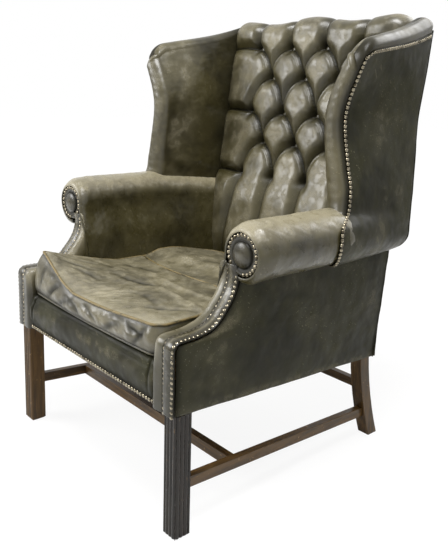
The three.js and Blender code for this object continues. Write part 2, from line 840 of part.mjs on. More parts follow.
// Outer and inner face of a wing: u runs from the front edge to the back, t up the edge
function wingOuter(u, t) {
  const p = nailCurve.getPoint(t).lerp(rearCurve.getPoint(t), u);
  p.z -= wingTopDip * Math.sin(Math.PI * u) * THREE.MathUtils.smoothstep(t, 0.8, 1) * u;
  return p;
}

function wingInner(u, t) {
  const p = innerCurve.getPoint(t).lerp(innerRearCurve.getPoint(t), u);
  p.z -= wingTopDip * Math.sin(Math.PI * u) * THREE.MathUtils.smoothstep(t, 0.8, 1) * u;
  return p;
}

// Loop of points round the wing at one level, drawn in towards its middle line by a share
function wingLoop(t, share, rise) {
  const columns = 5;
  const arc = 3;
  const loop = [];
  for (let k = columns; k >= 0; k -= 1) loop.push(wingSide(k / columns, t, -share, rise));
  const middle = wingSide(0, t, 0, rise);
  const reach = wingSide(0, t, share, rise).sub(middle);
  for (let k = 1; k <= arc; k += 1) {
    const angle = (Math.PI * k) / (arc + 1);
    const p = middle.clone().addScaledVector(reach, -Math.cos(angle));
    p.y -= wingRollProud * share * Math.sin(angle);
    loop.push(p);
  }
  for (let k = 0; k <= columns; k += 1) loop.push(wingSide(k / columns, t, share, rise));
  return loop;
}

function wingSide(u, t, share, rise) {
  const inner = wingInner(u, t);
  const outer = wingOuter(u, t);
  const face = share < 0 ? inner.clone() : outer;
  const p = inner.add(outer).multiplyScalar(0.5).lerp(face, Math.abs(share));
  p.z += rise;
  return p;
}

const wingShares = [0, 0.08, 0.2, 0.33, 0.45, 0.57, 0.7, 0.82, 0.91, 1];
const wingLevels = wingShares.map((share) => mix(wingStart, 1, share));

function wingBody() {
  const loops = wingLevels.map((t) => wingLoop(t, 1, 0));
  for (const angle of [30, 60, 90].map(THREE.MathUtils.degToRad)) {
    loops.push(wingLoop(1, Math.cos(angle), wingTopRise * Math.sin(angle)));
  }
  loops.at(-1).forEach((p, k, all) => {
    const partner = all[all.length - 1 - k];
    p.copy(p.clone().add(partner).multiplyScalar(0.5));
  });
  return loft(loops, false);
}

// Space behind the inside pad that holds the wing frame and the outside panel
function wingCore(gap) {
  const beyond = 14;
  const columns = 4;
  const levels = [wingStart - 0.05, ...wingLevels.slice(1, -1), wingCoreTop];
  const loops = levels.map((t) => {
    const inner = [];
    const outer = [];
    for (let j = 0; j <= columns; j += 1) {
      const u = mix(wingNailSetback, 1.1, j / columns);
      const a = wingInner(u, t);
      const b = wingOuter(u, t);
      const away = b.clone().sub(a).normalize();
      inner.push(a.addScaledVector(away, wingPad - gap));
      outer.push(b.addScaledVector(away, beyond));
    }
    return [...inner, ...outer.reverse()];
  });
  return loft(loops);
}

function outsideWing() {
  const rows = 13;
  const columns = 5;
  const endT = wingCoreTop - 0.003;
  const start = (t) => (wingNailSetback + 0.002) * THREE.MathUtils.smoothstep(t, 0.3, 0.42);
  const grid = (depth) => Array.from({ length: rows + 1 }, (_, i) => {
    const t = mix(0, endT, i / rows);
    return Array.from({ length: columns + 1 }, (_, j) => {
      const u = mix(start(t), 1, j / columns);
      const p = wingOuter(u, t);
      const along = wingOuter(Math.min(u + 0.05, 1), t).sub(wingOuter(Math.max(u - 0.05, 0), t));
      const up = wingOuter(u, Math.min(t + 0.02, 1)).sub(wingOuter(u, Math.max(t - 0.02, 0)));
      return p.addScaledVector(along.cross(up).normalize(), -depth);
    });
  });
  return slab(grid(0), grid(leatherPanel - seatGap));
}

function wingFrameX(u, t, share) {
  const a = wingInner(u, t);
  const b = wingOuter(u, t);
  const span = a.distanceTo(b);
  const low = wingPad + seatGap;
  const high = span - leatherPanel - 2 * seatGap;
  return a.lerp(b, (mix(low, high, 0.5) + share * wingPostWidth / 2) / span);
}

function wingPost() {
  const rows = 8;
  const depthShare = wingPostDepth / (rearCurve.getPoint(0.7).y - wingInnerFrontY);
  const u0 = wingNailSetback + wingFrameSetback;
  const u1 = u0 + depthShare;
  const loops = Array.from({ length: rows + 1 }, (_, k) => {
    const t = mix(wingPostStart, wingPostEnd, k / rows);
    return [wingFrameX(u0, t, -1), wingFrameX(u0, t, 1), wingFrameX(u1, t, 1), wingFrameX(u1, t, -1)];
  });
  const footZ = rollCentreZ + armRailHeight / 2 + seatGap;
  loops[0].forEach((p) => { p.z = footZ; });
  return loft(loops);
}

function wingRail() {
  const columns = 6;
  const topShare = (u) => 0.1 / (wingOuter(u, 1).z - wingOuter(u, 0.9).z);
  return loft(Array.from({ length: columns + 1 }, (_, k) => {
    const u = mix(wingNailSetback + wingFrameSetback, wingRailEnd, k / columns);
    const high = 1 - wingRailDrop * topShare(u);
    const low = high - wingRailHeight * topShare(u);
    const corners = [[low, -1], [low, 1], [high, 1], [high, -1]];
    return corners.map(([level, side]) => wingFrameX(u, level, side));
  }));
}

// Back

// Folds between buttons, given as [x1, z1, height1, x2, z2, height2]
function foldLines() {
  const folds = [];
  const half = buttonPitch / 2;
  const rowX = (row) => (row % 2 === 0 ? [-1.5, -0.5, 0.5, 1.5] : [-1, 0, 1]).map((k) => k * buttonPitch);
  buttonRows.forEach((z, row) => {
    for (const x of rowX(row)) {
      if (row + 1 < buttonRows.length) {
        const below = rowX(row + 1).filter((other) => Math.abs(Math.abs(other - x) - half) < 1);
        below.forEach((other) => folds.push([x, z, 0, other, buttonRows[row + 1], 0]));
      }
      if (row % 2 === 0 && Math.abs(x) > buttonPitch) {
        folds.push([x, z, 0, Math.sign(x) * backHalfWidth, z, foldHeight * 0.6]);
      }
      if (row === 0) folds.push([x, z, 0, x * 1.02, crestHeight + crestRound, foldHeight * 1.6]);
      if (row === buttonRows.length - 1) folds.push([x, z, 0, x * 1.12, backBottomZ, foldHeight * 2]);
    }
  });
  return folds;
}

const folds = foldLines();

// Height of the stuffing over the button pits at a place on the back
function tuft(x, z) {
  let nearest = Infinity;
  let level = 0;
  for (const [x1, z1, h1, x2, z2, h2] of folds) {
    const length2 = (x2 - x1) ** 2 + (z2 - z1) ** 2;
    const share = THREE.MathUtils.clamp(((x - x1) * (x2 - x1) + (z - z1) * (z2 - z1)) / length2, 0, 1);
    const distance = Math.hypot(x - mix(x1, x2, share), z - mix(z1, z2, share));
    if (distance < nearest) {
      nearest = distance;
      level = mix(h1, h2, share) + (h2 === 0 ? foldHeight * Math.sin(Math.PI * share) ** 0.7 : 0);
    }
  }
  const near = Math.min(nearest / tuftReach, 1);
  return level + (tuftHeight - level) * Math.sqrt(1 - (1 - near) ** 2);
}

// Extra stuffing behind the small of the back, between the cushion and the lowest buttons
function lumbar(z) {
  const lowest = buttonRows.at(-1);
  const rise = THREE.MathUtils.smoothstep(z, backBottomZ, cushionTop + lumbarBlend / 2);
  const fall = THREE.MathUtils.smoothstep(z, lowest - lumbarBlend, lowest + lumbarBlend / 2);
  return lumbarRise * rise * (1 - fall);
}

// Stuffing height at a place: the tufts roll down to the seams beside the wings and the arms
function stuffing(x, z) {
  const near = THREE.MathUtils.clamp((Math.abs(x) - backEdgeStart) / (backEdgeEnd - backEdgeStart), 0, 1);
  return (tuft(x, z) + lumbar(z) + backEdgeSink) * Math.sqrt(1 - near * near) - backEdgeSink;
}

const pitY = (z) => backPitFoot + backPitRake * z;

// Columns and rows that pass through every button, so that the folds run along edges
function backColumns() {
  const perHalf = 4;
  const inner = [];
  for (let k = 0; k <= 3 * perHalf; k += 1) inner.push((k * buttonPitch) / 2 / perHalf);
  const outer = [0.28, 0.52, 0.7, 0.84, 0.94, 1].map((share) => mix(inner.at(-1), backHalfWidth, share));
  const right = [...inner, ...outer];
  return [...right.slice(1).reverse().map((x) => -x), ...right];
}

function backRows() {
  const perRow = 4;
  const rows = [];
  const belowSteps = 8;
  for (let k = 0; k < belowSteps; k += 1) rows.push(mix(backBottomZ, buttonRows.at(-1), k / belowSteps));
  for (let row = buttonRows.length - 1; row > 0; row -= 1) {
    for (let k = 0; k < perRow; k += 1) rows.push(mix(buttonRows[row], buttonRows[row - 1], k / perRow));
  }
  rows.push(buttonRows[0], mix(buttonRows[0], crestHeight - crestRound, 0.5));
  return rows;
}

function backBody() {
  const columns = backColumns();
  const rear = (z) => backFace(z) - seatGap;
  const line = (x) => {
    const points = backRows().map((z) => [pitY(z) - stuffing(x, z), z]);
    const top = crestZ(x);
    const start = [pitY(top - crestRound) - stuffing(x, top - crestRound), top - crestRound];
    const end = [rear(top - crestLeatherDrop), top - crestLeatherDrop];
    const bends = 6;
    for (let k = 0; k <= bends; k += 1) {
      const angle = (Math.PI * k) / bends;
      const share = (1 - Math.cos(angle)) / 2;
      const dip = crestPleatDepth * (1 - tuft(x, crestHeight) / tuftHeight);
      const rise = (crestRound - dip) * Math.sin(angle) ** 0.8;
      points.push([mix(start[0], end[0], share), mix(start[1], end[1], share) + rise]);
    }
    return points;
  };
  const front = columns.map((x) => line(x).map(([y, z]) => v3(x, y, z)));
  const back = front.map((column) => column.map((p) => {
    const z = Math.min(p.z, crestZ(p.x) - crestLeatherDrop);
    return v3(p.x, rear(z), z);
  }));
  return slab(front, back);
}

// Space behind the padding, from the deck to the lower edge of the crest leather
function behindBack() {
  const wide = 1.1 * backHalfWidth;
  const [low, high] = [backBottomZ - rearLegSide, crestRailBottom + crestRailThickness / 2];
  const behind = (z) => backFace(z) + leatherPanel;
  const section = [
    [postFront(low), low], [behind(low), low], [behind(high), high], [postFront(high), high],
  ];
  return block([-wide, wide].map((x) => section.map(([y, z]) => [x, y, z])));
}

// Everything from the inner face of a wing outwards
function wingEnvelope() {
  const out = 80;
  const past = 60;
  return loft(wingLevels.map((t, k) => {
    const inner = [1, 0.8, 0.6, 0.4].map((u) => wingInner(u, t));
    inner.unshift(inner[0].clone().add(v3(0, past, 0)));
    if (k === 0) inner.forEach((p) => { p.z -= past; });
    if (k === wingLevels.length - 1) inner.forEach((p) => { p.z += past; });
    return [...inner, inner.at(-1).clone().add(v3(out, 0, 0)), inner[0].clone().add(v3(out, 0, 0))];
  }));
}

// Everything from the inner face and the roll of an arm outwards, at the back of the seat
function armEnvelope() {
  const steps = 8;
  return loft([...rollStations, rollRearY + 8].map((y) => {
    const x = sideX(y, armWallInset);
    const loop = [
      v3(x, y, seatTop(y)), v3(x, y, armWallBottom),
      v3(x + armWallLean * (rollZ(y) - armWallBottom), y, rollZ(y)),
    ];
    for (let k = 0; k <= steps; k += 1) {
      const angle = THREE.MathUtils.degToRad(mix(150, 60, k / steps));
      loop.push(v3(rollX(y) + rollR(y) * Math.cos(angle), y, rollZ(y) + rollR(y) * Math.sin(angle)));
    }
    const out = rollX(y) + 2 * rollR(y);
    return [...loop, v3(out, y, rollZ(y)), v3(out, y, seatTop(y))];
  }));
}

function outsideBack() {
  const side = rearCurve.getPoints(16).map((p) => [p.x + 0.5, p.z]);
  const edge = [[sideX(backFootY, 0), rearHem], [sideX(backFootY, 0), side[0][1]], ...side.slice(1)];
  const topSteps = 14;
  const topHalf = edge.at(-1)[0];
  const topOfSides = crestZ(0) - crestLeatherDrop - crestWave * 2;
  const outline = edge.filter(([, z]) => z < topOfSides);
  for (let k = 0; k <= topSteps; k += 1) {
    const x = mix(topHalf, -topHalf, k / topSteps);
    outline.push([x, crestZ(x) - crestLeatherDrop - seatGap]);
  }
  const right = outline.slice(0, outline.length - topSteps - 1);
  [...right].reverse().forEach(([x, z]) => outline.push([-x, z]));
  const shape = new THREE.Shape(outline.map(([x, z]) => new THREE.Vector2(x, z)));
  const options = { depth: leatherPanel - seatGap, bevelEnabled: false, curveSegments: 1 };
  const plate = welded(new THREE.ExtrudeGeometry(shape, options));
  return outward(bent(plate, (p) => p.set(p.x, backFace(p.y) - p.z, p.y)));
}

// Seat

function seatWeb(index) {
  const x = (index - (webCount - 1) / 2) * webPitch;
  const ends = [leatherPanel + 14, postRear(rearHem) - 8];
  return block(ends.map((y) => {
    const low = seatTop(y) + seatGap;
    return [
      [x - webWidth / 2, y, low], [x + webWidth / 2, y, low],
      [x + webWidth / 2, y, low + webThickness], [x - webWidth / 2, y, low + webThickness],
    ];
  }));
}

function seatDeck() {
  const low = (y) => seatTop(y) + 2 * seatGap + webThickness;
  return block([deckFrontY, deckRearY].map((y) => {
    const half = sideX(y, armWallInset) - 1;
    const high = low(y) + deckThickness;
    return [[-half, y, low(y)], [half, y, low(y)], [half, y, high], [-half, y, high]];
  }));
}

function dustCover() {
  return block([leatherPanel + 4, postFront(rearHem) + railThickness].map((y) => {
    const half = sideX(y, armWallInset + 2);
    const high = hem(y) + railAboveHem - seatGap;
    const low = high - dustCoverThickness;
    return [[-half, y, low], [half, y, low], [half, y, high], [-half, y, high]];
  }));
}

function frontLip() {
  const under = seatHeight + webThickness + 3 * seatGap;
  const rise = lipHeight - under;
  const shape = new THREE.Shape();
  const face = -lipProud;
  const front = leatherPanel - seatGap;
  shape.moveTo(front, hemHeight);
  shape.lineTo(facingFrontY + 2, hemHeight);
  shape.quadraticCurveTo(face - 3, (hemHeight + under) / 2, face + 2, under);
  shape.quadraticCurveTo(face + 4, lipHeight, lipRearY / 3, lipHeight);
  shape.lineTo(lipRearY, lipHeight - rise / 4);
  shape.lineTo(lipRearY, under);
  shape.lineTo(front, under);
  const half = sideX(lipRearY, armWallInset) - seatGap;
  const options = { depth: 2 * half, bevelEnabled: false, curveSegments: 6 };
  const geometry = welded(new THREE.ExtrudeGeometry(shape, options));
  return outward(bent(geometry, (p) => p.set(p.z - half, p.x, p.y)));
}

// Bell that is 1 at zero and fades over the reach
const bell = (distance, reach) => Math.exp(-((distance / reach) ** 2));

// Top of the cushion: its left front corner stands up, and it sags towards the back
function cushionTopZ(x, y) {
  const side = sideX(y, cushionInset);
  const fromFront = bell(y - cushionFrontY, cushionCornerReachY);
  const far = cushionCornerLift * bell(x + side, cushionCornerReachX) * fromFront;
  const near = cushionNearLift * bell(x - side, cushionCornerReachX);
  const riseEnd = cushionBackRiseY + cushionBackRiseLength;
  const ridge = cushionBackRise * THREE.MathUtils.smoothstep(y, cushionBackRiseY, riseEnd);
  const slopeStart = cushionBackRiseY + cushionBackSlopeDelay;
  const slope = cushionBackSlope * THREE.MathUtils.smoothstep(y, slopeStart, cushionRearY);
  return cushionTop + far + near + ridge - slope;
}

function cushionUnder(y) {
  const onDeck = seatTop(y) + webThickness + deckThickness + 4 * seatGap;
  const offLip = THREE.MathUtils.smoothstep(y, lipRearY, 3 * lipRearY);
  return Math.max(onDeck, mix(lipHeight + seatGap, onDeck, offLip));
}

// How far a quarter round of the given radius stands back at a distance from its edge
const roundOff = (distance, radius) => 1 - Math.sqrt(1 - (1 - Math.min(distance / radius, 1)) ** 2);

function seatCushion() {
  const steps = 14;
  const spread = (k) => (1 - Math.cos((Math.PI * k) / steps)) / 2;
  const half = (y) => sideX(y, cushionInset)
    - cushionCornerRound * roundOff(y - cushionFrontY, cushionCornerRound);
  const along = Array.from({ length: steps + 1 }, (_, i) => mix(cushionFrontY, cushionRearY, spread(i)));
  const across = Array.from({ length: steps + 1 }, (_, j) => mix(-1, 1, spread(j)));
  const grid = (place) => along.map((y) => across.map((share) => {
    const x = share * half(y);
    return place(x, y, Math.min(y - cushionFrontY, cushionRearY - y, half(y) - Math.abs(x)));
  }));
  const top = grid((x, y, edge) => {
    return v3(x, y, cushionTopZ(x, y) - cushionEdgeDrop * roundOff(edge, cushionEdgeRound));
  });
  const under = grid((x, y, edge) => {
    return v3(x, y, cushionUnder(y) + cushionEdgeLift * roundOff(edge, cushionEdgeRound));
  });
  return slab(top, under);
}

// Assembly

const rearLegs = [rearLeg(), mirrored(rearLeg())];
const stump = armStump();
const rail = armRail();
const wingPostPiece = wingPost();
const wingRailPiece = wingRail();
const post = cutBy(wingPostPiece, wingRailPiece);
const crest = crestRail();
const facing = armFacing();
const outerWing = cutBy(outsideWing(), rearLegs[0]);

const facingSeat = boxBetween(
  [sideX(rollFrontY, facingWidth), rollFrontY - facingSeatDepth, facingSweep.at(-3)[1]],
  [legOuterX, rollFrontY + facingThickness, rollCentreZ - facingDiscDrop],
);

const insideArm = cutBy(
  joined(armWall(), armRoll()),
  frontLeg(), frontSeatRail(), stump, rail, post, facingSeat, outerWing,
);
const insideWing = cutBy(
  fromSolid(toSolid(wingBody()).subtract(toSolid(wingCore(0)))),
  insideArm, rearLegs[0], crest, outerWing,
);
const railForWing = cutBy(wingRailPiece, crest, rearLegs[0]);
const outsideArmPiece = outsideArm();
const [armSide, wingSideCut] = [armEnvelope(), wingEnvelope()];
const buttonedBack = cutBy(
  backBody(),
  behindBack(), crest, armSide, mirrored(armSide), wingSideCut, mirrored(wingSideCut),
);

addPair('front_leg', frontLeg(), polishedMahogany);
addPair('rear_leg', rearLegs[0], fadedMahogany);
addPair('side_stretcher', sideStretcher(), fadedMahogany);
addMesh('medial_stretcher', medialStretcher(), fadedMahogany);
addMesh('rear_stretcher', rearStretcher(), fadedMahogany);
addMesh('front_seat_rail', frontSeatRail(), frameBeech);
addMesh('back_seat_rail', backSeatRail(), frameBeech);
addPair('side_seat_rail', sideSeatRail(), frameBeech);
addPair('front_corner_block', cornerBlock(
  sideX(legSide, leatherPanel + railThickness + 2 * seatGap) - sideTaper * cornerBlockSide,
  Math.max(legSide, leatherPanel + railThickness) + seatGap, 1,
), frameBeech);
addPair('rear_corner_block', cutBy(cornerBlock(
  sideX(backFootY, leatherPanel + railThickness + 2 * seatGap),
  postRear(rearHem) - railThickness - seatGap, -1,
), rearLegs[0], backSeatRail(), sideSeatRail()), frameBeech);
addMesh('crest_rail', crest, frameBeech);
addMesh('stay_rail', stayRail(), frameBeech);
addPair('arm_stump', stump, frameBeech);
addPair('arm_rail', cutBy(rail, rearLegs[0]), frameBeech);
addPair('wing_post', post, frameBeech);
addPair('wing_rail', railForWing, frameBeech);
for (let index = 0; index < webCount; index += 1) {
  addMesh(`seat_web_${index + 1}`, seatWeb(index), webbing);
}
addMesh('seat_deck', seatDeck(), platformCloth);
addMesh('dust_cover', dustCover(), platformCloth);
addMesh('front_lip', frontLip(), leather);
addMesh('seat_cushion', seatCushion(), paleLeather);
addMesh('inner_back', buttonedBack, leather);
addPair('inside_wing', insideWing, leather);
addPair('outside_wing', outerWing, darkLeather);
addPair('inside_arm', insideArm, paleLeather);
addPair('outside_arm', outsideArmPiece, darkLeather);
addPair('arm_facing', facing, leather);
addMesh('outside_back', outsideBack(), darkLeather);

// Origin under the middle of the chair
const bounds = new THREE.Box3().setFromObject(chair);
chair.position.y = -(bounds.min.y + bounds.max.y) / 2;
chair.updateMatrixWorld(true);

export default chair;
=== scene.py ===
"""Worn wing chair: leather, nails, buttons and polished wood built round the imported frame.

Surface formulas work in drawn millimetres: x across, y back from the front of the front legs
and z up. to_scene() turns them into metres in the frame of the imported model.
"""

import math

import bmesh
import bpy
import numpy as np
from mathutils import Matrix, Vector, noise


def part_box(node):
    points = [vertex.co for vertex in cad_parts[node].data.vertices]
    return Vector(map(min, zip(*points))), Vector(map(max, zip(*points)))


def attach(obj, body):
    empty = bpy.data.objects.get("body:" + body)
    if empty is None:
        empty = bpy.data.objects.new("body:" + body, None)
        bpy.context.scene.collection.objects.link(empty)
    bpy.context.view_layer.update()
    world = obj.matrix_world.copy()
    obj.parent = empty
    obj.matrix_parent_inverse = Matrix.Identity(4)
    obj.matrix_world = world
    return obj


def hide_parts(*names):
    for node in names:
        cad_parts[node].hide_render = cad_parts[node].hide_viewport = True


bl_info = {
    "name": "Worn wing chair",
    "version": (1, 0, 0),
    "blender": (4, 5, 0),
    "location": "3D View > Sidebar > Wing chair",
    "description": "Builds the buttoned leather, the nails and the polished wood of a worn wing chair",
    "category": "Object",
}

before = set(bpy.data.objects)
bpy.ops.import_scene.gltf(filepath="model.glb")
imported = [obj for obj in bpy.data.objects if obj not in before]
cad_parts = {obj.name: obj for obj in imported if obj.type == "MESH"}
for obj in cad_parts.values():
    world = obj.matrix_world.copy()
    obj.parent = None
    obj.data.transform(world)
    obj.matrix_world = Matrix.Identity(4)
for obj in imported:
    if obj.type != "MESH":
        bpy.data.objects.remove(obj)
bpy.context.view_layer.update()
FRONT_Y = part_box("front_leg_right")[0].y * 1000
SIDES = (("right", 1), ("left", -1))


# Sizes and places in millimetres, as drawn; a taper, a rake, a lean, a fall or a cut is a share.
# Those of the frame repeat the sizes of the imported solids.

LEG_OUTER_X = 355
SIDE_TAPER = 0.03
BACK_FOOT_Y = 660
BACK_RAKE = 0.136
PANEL = 5
POST_SIDE = 36
HEM_HEIGHT = 289
HEM_FALL = 0.075
SEAT_HEIGHT = 366
SEAT_FALL = 0.046
DECK_TOP = 15
LIP_HEIGHT = 388
LIP_PROUD = 8
LIP_REAR_Y = 44

ROLL_X = 369
ROLL_Z = 616
ROLL_RADIUS = 63
ROLL_FRONT_Y = 170
ROLL_BEND_Y = 436
ROLL_REAR_Y = 732
ROLL_REAR_SHIFT = -39
ROLL_REAR_DROP = 22
ROLL_REAR_SHRINK = 14
ROLL_SEAM_ANGLE = -103
WALL_INSET = 74
WALL_BOTTOM = 372
WALL_LEAN = 0.094
SEAM_FRONT_Z = 553
SEAM_REAR_Z = 533

STRIP_WIDTH = 35
STRIP_FRONT_Y = -5
STRIP_KNEE_Z = 428
STRIP_KNEE = 16
STRIP_SWEEP = ((60, 446), (103, 457), (133, 485), (157, 518), (168, 553), (164, 585))
DISC_X = 365
DISC_Y = 162
DISC_Z = 610
DISC_RADIUS = 48
NAIL_RING = 43
DOME_RADIUS = 30
DOME_HEIGHT = 11

WING_NAIL_Y = 456
WING_NAIL_X = (395, 383, 366, 374, 403, 428)
WING_NAIL_Z = (730, 780, 873, 931, 999, 1048)
WING_REAR_X = (376, 369, 359, 360, 362, 364)
WING_REAR_Z = (700, 770, 880, 950, 1030, 1122)
WING_INNER_X = (328, 321, 312, 320, 351, 378)
WING_INNER_TOP_Z = 1043
WING_INNER_Y = 470
WING_INNER_FOOT_X = 335
WING_INNER_REAR_X = 320
LAP_ANGLES = (-100, -60, -20, 20, 60)
LAP_FRONT_Y = (440, 412, 393, 397, 446)
LAP_OVER_ROLL = 6
LAP_REAR_TOP = (379, 652)
WING_ROLL_PROUD = 20
WING_TOP_RISE = 22
WING_TOP_DIP = 12
WING_START = 0.39
WING_CORNER = 50
WING_CORNER_CUT = 0.1

BACK_BOTTOM_Z = 354
PIT_FOOT_Y = 586
PIT_RAKE = 0.149
CREST_HEIGHT = 1148
CREST_WAVE = 9
CREST_WAVELENGTH = 310
CREST_ROUND = 42
CREST_DROP = 38
CREST_TUCK = 34
CREST_TUCK_WIDTH = 47
BACK_HALF = 336
BACK_SHEET_HALF = 325
BACK_FALL_WIDTH = 94
BACK_FALL_START = 236
PIT_DEPTH = 11
PIT_RADIUS = 13
LUMBAR_HEIGHT = 20
BUTTON_ROWS = (1064, 976, 872, 782, 680)
BUTTON_PITCH = 132
FOLD_LIFT = 12
FOLD_ARCH = 0.88
TUFT_REACH = 54

CUSHION_FRONT_Y = 5
CUSHION_REAR_Y = 597
CUSHION_INSET = 77
CUSHION_TOP = 452
CUSHION_REAR_RADIUS = 64
CUSHION_FRONT_RADII = (20, 30)
CUSHION_BOW = 7
CUSHION_EAR = 62

NAIL_INSET = 7
WOOD_EASE = 1.2


# Small helpers

def mix(a, b, t):
    """Value between a, at t 0, and b, at t 1."""
    return a + (b - a) * t


def clamp(value, low=0.0, high=1.0):
    return np.minimum(np.maximum(value, low), high)


def ease(value, low=0.0, high=1.0):
    """Smooth step from 0 at low to 1 at high."""
    t = clamp((value - low) / (high - low))
    return t * t * (3 - 2 * t)


def bell(distance, reach):
    """Soft bump that is 1 at no distance and fades beyond its reach."""
    return np.exp(-((distance / reach) ** 2))


def quarter(t):
    """Quarter round: rises steeply from 0 at 0 to 1 at 1."""
    return np.sqrt(1 - (1 - clamp(t)) ** 2)


def to_scene(x, y, z):
    """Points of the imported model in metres, from drawn millimetres."""
    x, y, z = np.broadcast_arrays(np.asarray(x, float), np.asarray(y, float), np.asarray(z, float))
    return np.stack([x, y + FRONT_Y, z], axis=-1) / 1000


def wander(points, size, seed=0.0, octaves=3):
    """Smooth noise from -1 to 1 with features of the given size in mm, one value a point."""
    shift = Vector((seed, 2 * seed, 3 * seed))
    return np.array([noise.fractal(Vector(p) * (1000 / size) + shift, 0.6, 2.0, octaves) for p in points])


def rumple(points, *layers):
    """Sum of smooth noises in mm, each given as its feature size, seed, octaves and depth."""
    return sum(wander(points, size, seed, octaves) * depth for size, seed, octaves, depth in layers)


def back_face(z):
    """Depth y of the rear face of the raked back."""
    return BACK_FOOT_Y + BACK_RAKE * z


def post_front(z):
    """Depth y of the front face of the back posts."""
    return back_face(z) - PANEL - POST_SIDE


def side_x(y, inset):
    """Half width of the tapering seat frame, less an inset."""
    return LEG_OUTER_X - inset - SIDE_TAPER * y


def hem(y):
    """Height of the bottom edge of the side leather."""
    return HEM_HEIGHT - HEM_FALL * y


def roll_share(y):
    """Share of the way along the rear part of the arm roll, which bends, drops and shrinks."""
    return clamp((y - ROLL_BEND_Y) / (ROLL_REAR_Y - ROLL_BEND_Y))


def roll_x(y):
    return ROLL_X + ROLL_REAR_SHIFT * roll_share(y)


def roll_z(y):
    return ROLL_Z - ROLL_REAR_DROP * roll_share(y)


def roll_r(y):
    return ROLL_RADIUS - ROLL_REAR_SHRINK * roll_share(y)


def spline(points, t):
    """Uniform spline through the points at the parameters t, from 0 to 1."""
    pts = np.asarray(points, float)
    padded = np.vstack([2 * pts[0] - pts[1], pts, 2 * pts[-1] - pts[-2]])
    place = clamp(np.asarray(t, float)) * (len(pts) - 1)
    k = np.minimum(place.astype(int), len(pts) - 2)
    f = (place - k)[..., None]
    a, b, c, d = (padded[k + j] for j in range(4))
    return 0.5 * (2 * b + (c - a) * f + (2 * a - 5 * b + 4 * c - d) * f**2 + (3 * b - a - 3 * c + d) * f**3)


def travelled(points):
    """Length of a line up to each of its points."""
    return np.concatenate([[0], np.cumsum(np.linalg.norm(np.diff(points, axis=0), axis=1))])


def even(points, count, carried=None):
    """The same line with the given number of points at equal steps, and any columns carried along it."""
    points = np.asarray(points, float)
    run = travelled(points)
    at = np.linspace(0, run[-1], count)
    columns = points if carried is None else np.hstack([points, carried])
    return np.stack([np.interp(at, run, column) for column in columns.T], axis=1)


def along(line, share):
    """Columns of a line at shares from 0 to 1 of its points."""
    return [np.interp(share * (len(line) - 1), np.arange(len(line)), column) for column in line.T]


def tangents(line):
    """Unit directions of a line at its points."""
    steps = np.gradient(line, axis=0)
    return steps / np.linalg.norm(steps, axis=1)[:, None]


def rim_distance(u, v):
    """Distance from the nearest edge of a sheet, as a share of its size."""
    return np.minimum(np.minimum(u, 1 - u), np.minimum(v, 1 - v))


def linear(hex_colour):
    """Linear colour from an sRGB hex value."""
    channels = [int(hex_colour[k:k + 2], 16) / 255 for k in (1, 3, 5)]
    return [c / 12.92 if c <= 0.04045 else ((c + 0.055) / 1.055) ** 2.4 for c in channels] + [1.0]


# Meshes

def link(name, data):
    obj = bpy.data.objects.new(name, data)
    bpy.context.scene.collection.objects.link(obj)
    return obj


def shade(mesh, smooth=True):
    for polygon in mesh.polygons:
        polygon.use_smooth = smooth


def new_object(name, bm, smooth=True):
    mesh = bpy.data.meshes.new(name)
    bm.to_mesh(mesh)
    bm.free()
    shade(mesh, smooth)
    return link(name, mesh)


def add_sheet(bm, columns, rows, place):
    """Adds a grid whose vertices are moved by place(u, v), with u and v from 0 to 1.

    place returns the points and, for the material, how much painted shade and how much wear the leather gets
    there; on the front roll and the arm rolls the wear mark also carries painted light.
    """
    kept = bm.verts.layers.float
    layers = [kept.get(mark) or kept.new(mark) for mark in ("painted_shade", "wear_and_highlight")]
    made = bmesh.ops.create_grid(bm, x_segments=columns, y_segments=rows, size=0.5)["verts"]
    flat = np.array([vert.co[:] for vert in made])
    u, v = np.round(flat[:, 0] + 0.5, 6), np.round(flat[:, 1] + 0.5, 6)
    for vert, point, *marks in zip(made, *place(u, v)):
        vert.co = point
        for layer, number in zip(layers, marks):
            vert[layer] = number


def leather(name, sheets, side=1):
    """Thick leather of sheets given as columns, rows and place; the left side is mirrored."""
    bm = bmesh.new()
    for columns, rows, place in sheets:
        add_sheet(bm, columns, rows, place)
    if side < 0:
        bmesh.ops.scale(bm, vec=(-1, 1, 1), verts=bm.verts)
        bmesh.ops.reverse_faces(bm, faces=bm.faces)
    return thicken(new_object(name, bm))


def thicken(obj):
    """Closes a leather sheet into a shell with the thickness of the hide."""
    solid = obj.modifiers.new("thickness", "SOLIDIFY")
    solid.thickness = sizes().leather_thickness
    solid.offset = -1
    solid.use_even_offset = False
    return obj


def tube(name, points, radius, closed=False):
    """Round cord of leather or thread along points in metres."""
    curve = bpy.data.curves.new(name, "CURVE")
    curve.dimensions = "3D"
    curve.bevel_depth = radius / 1000
    curve.bevel_resolution = 3
    curve.use_fill_caps = True
    line = curve.splines.new("POLY")
    line.points.add(len(points) - 1)
    for point, place in zip(line.points, points):
        point.co = (*place, 1)
    line.use_cyclic_u = closed
    drawn = link(name, curve)
    bpy.context.view_layer.update()
    mesh = bpy.data.meshes.new_from_object(drawn.evaluated_get(bpy.context.evaluated_depsgraph_get()))
    bpy.data.objects.remove(drawn)
    shade(mesh)
    mesh.name = name
    return link(name, mesh)


def settle(obj, material, slot, *nodes):
    """Finishes a piece: material, body and the frame pieces that it stands for. The slot is not used."""
    obj.data.materials.clear()
    obj.data.materials.append(material)
    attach(obj, "root")
    if nodes:
        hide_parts(*nodes)
    return obj


# Sizes and colours that a user may change

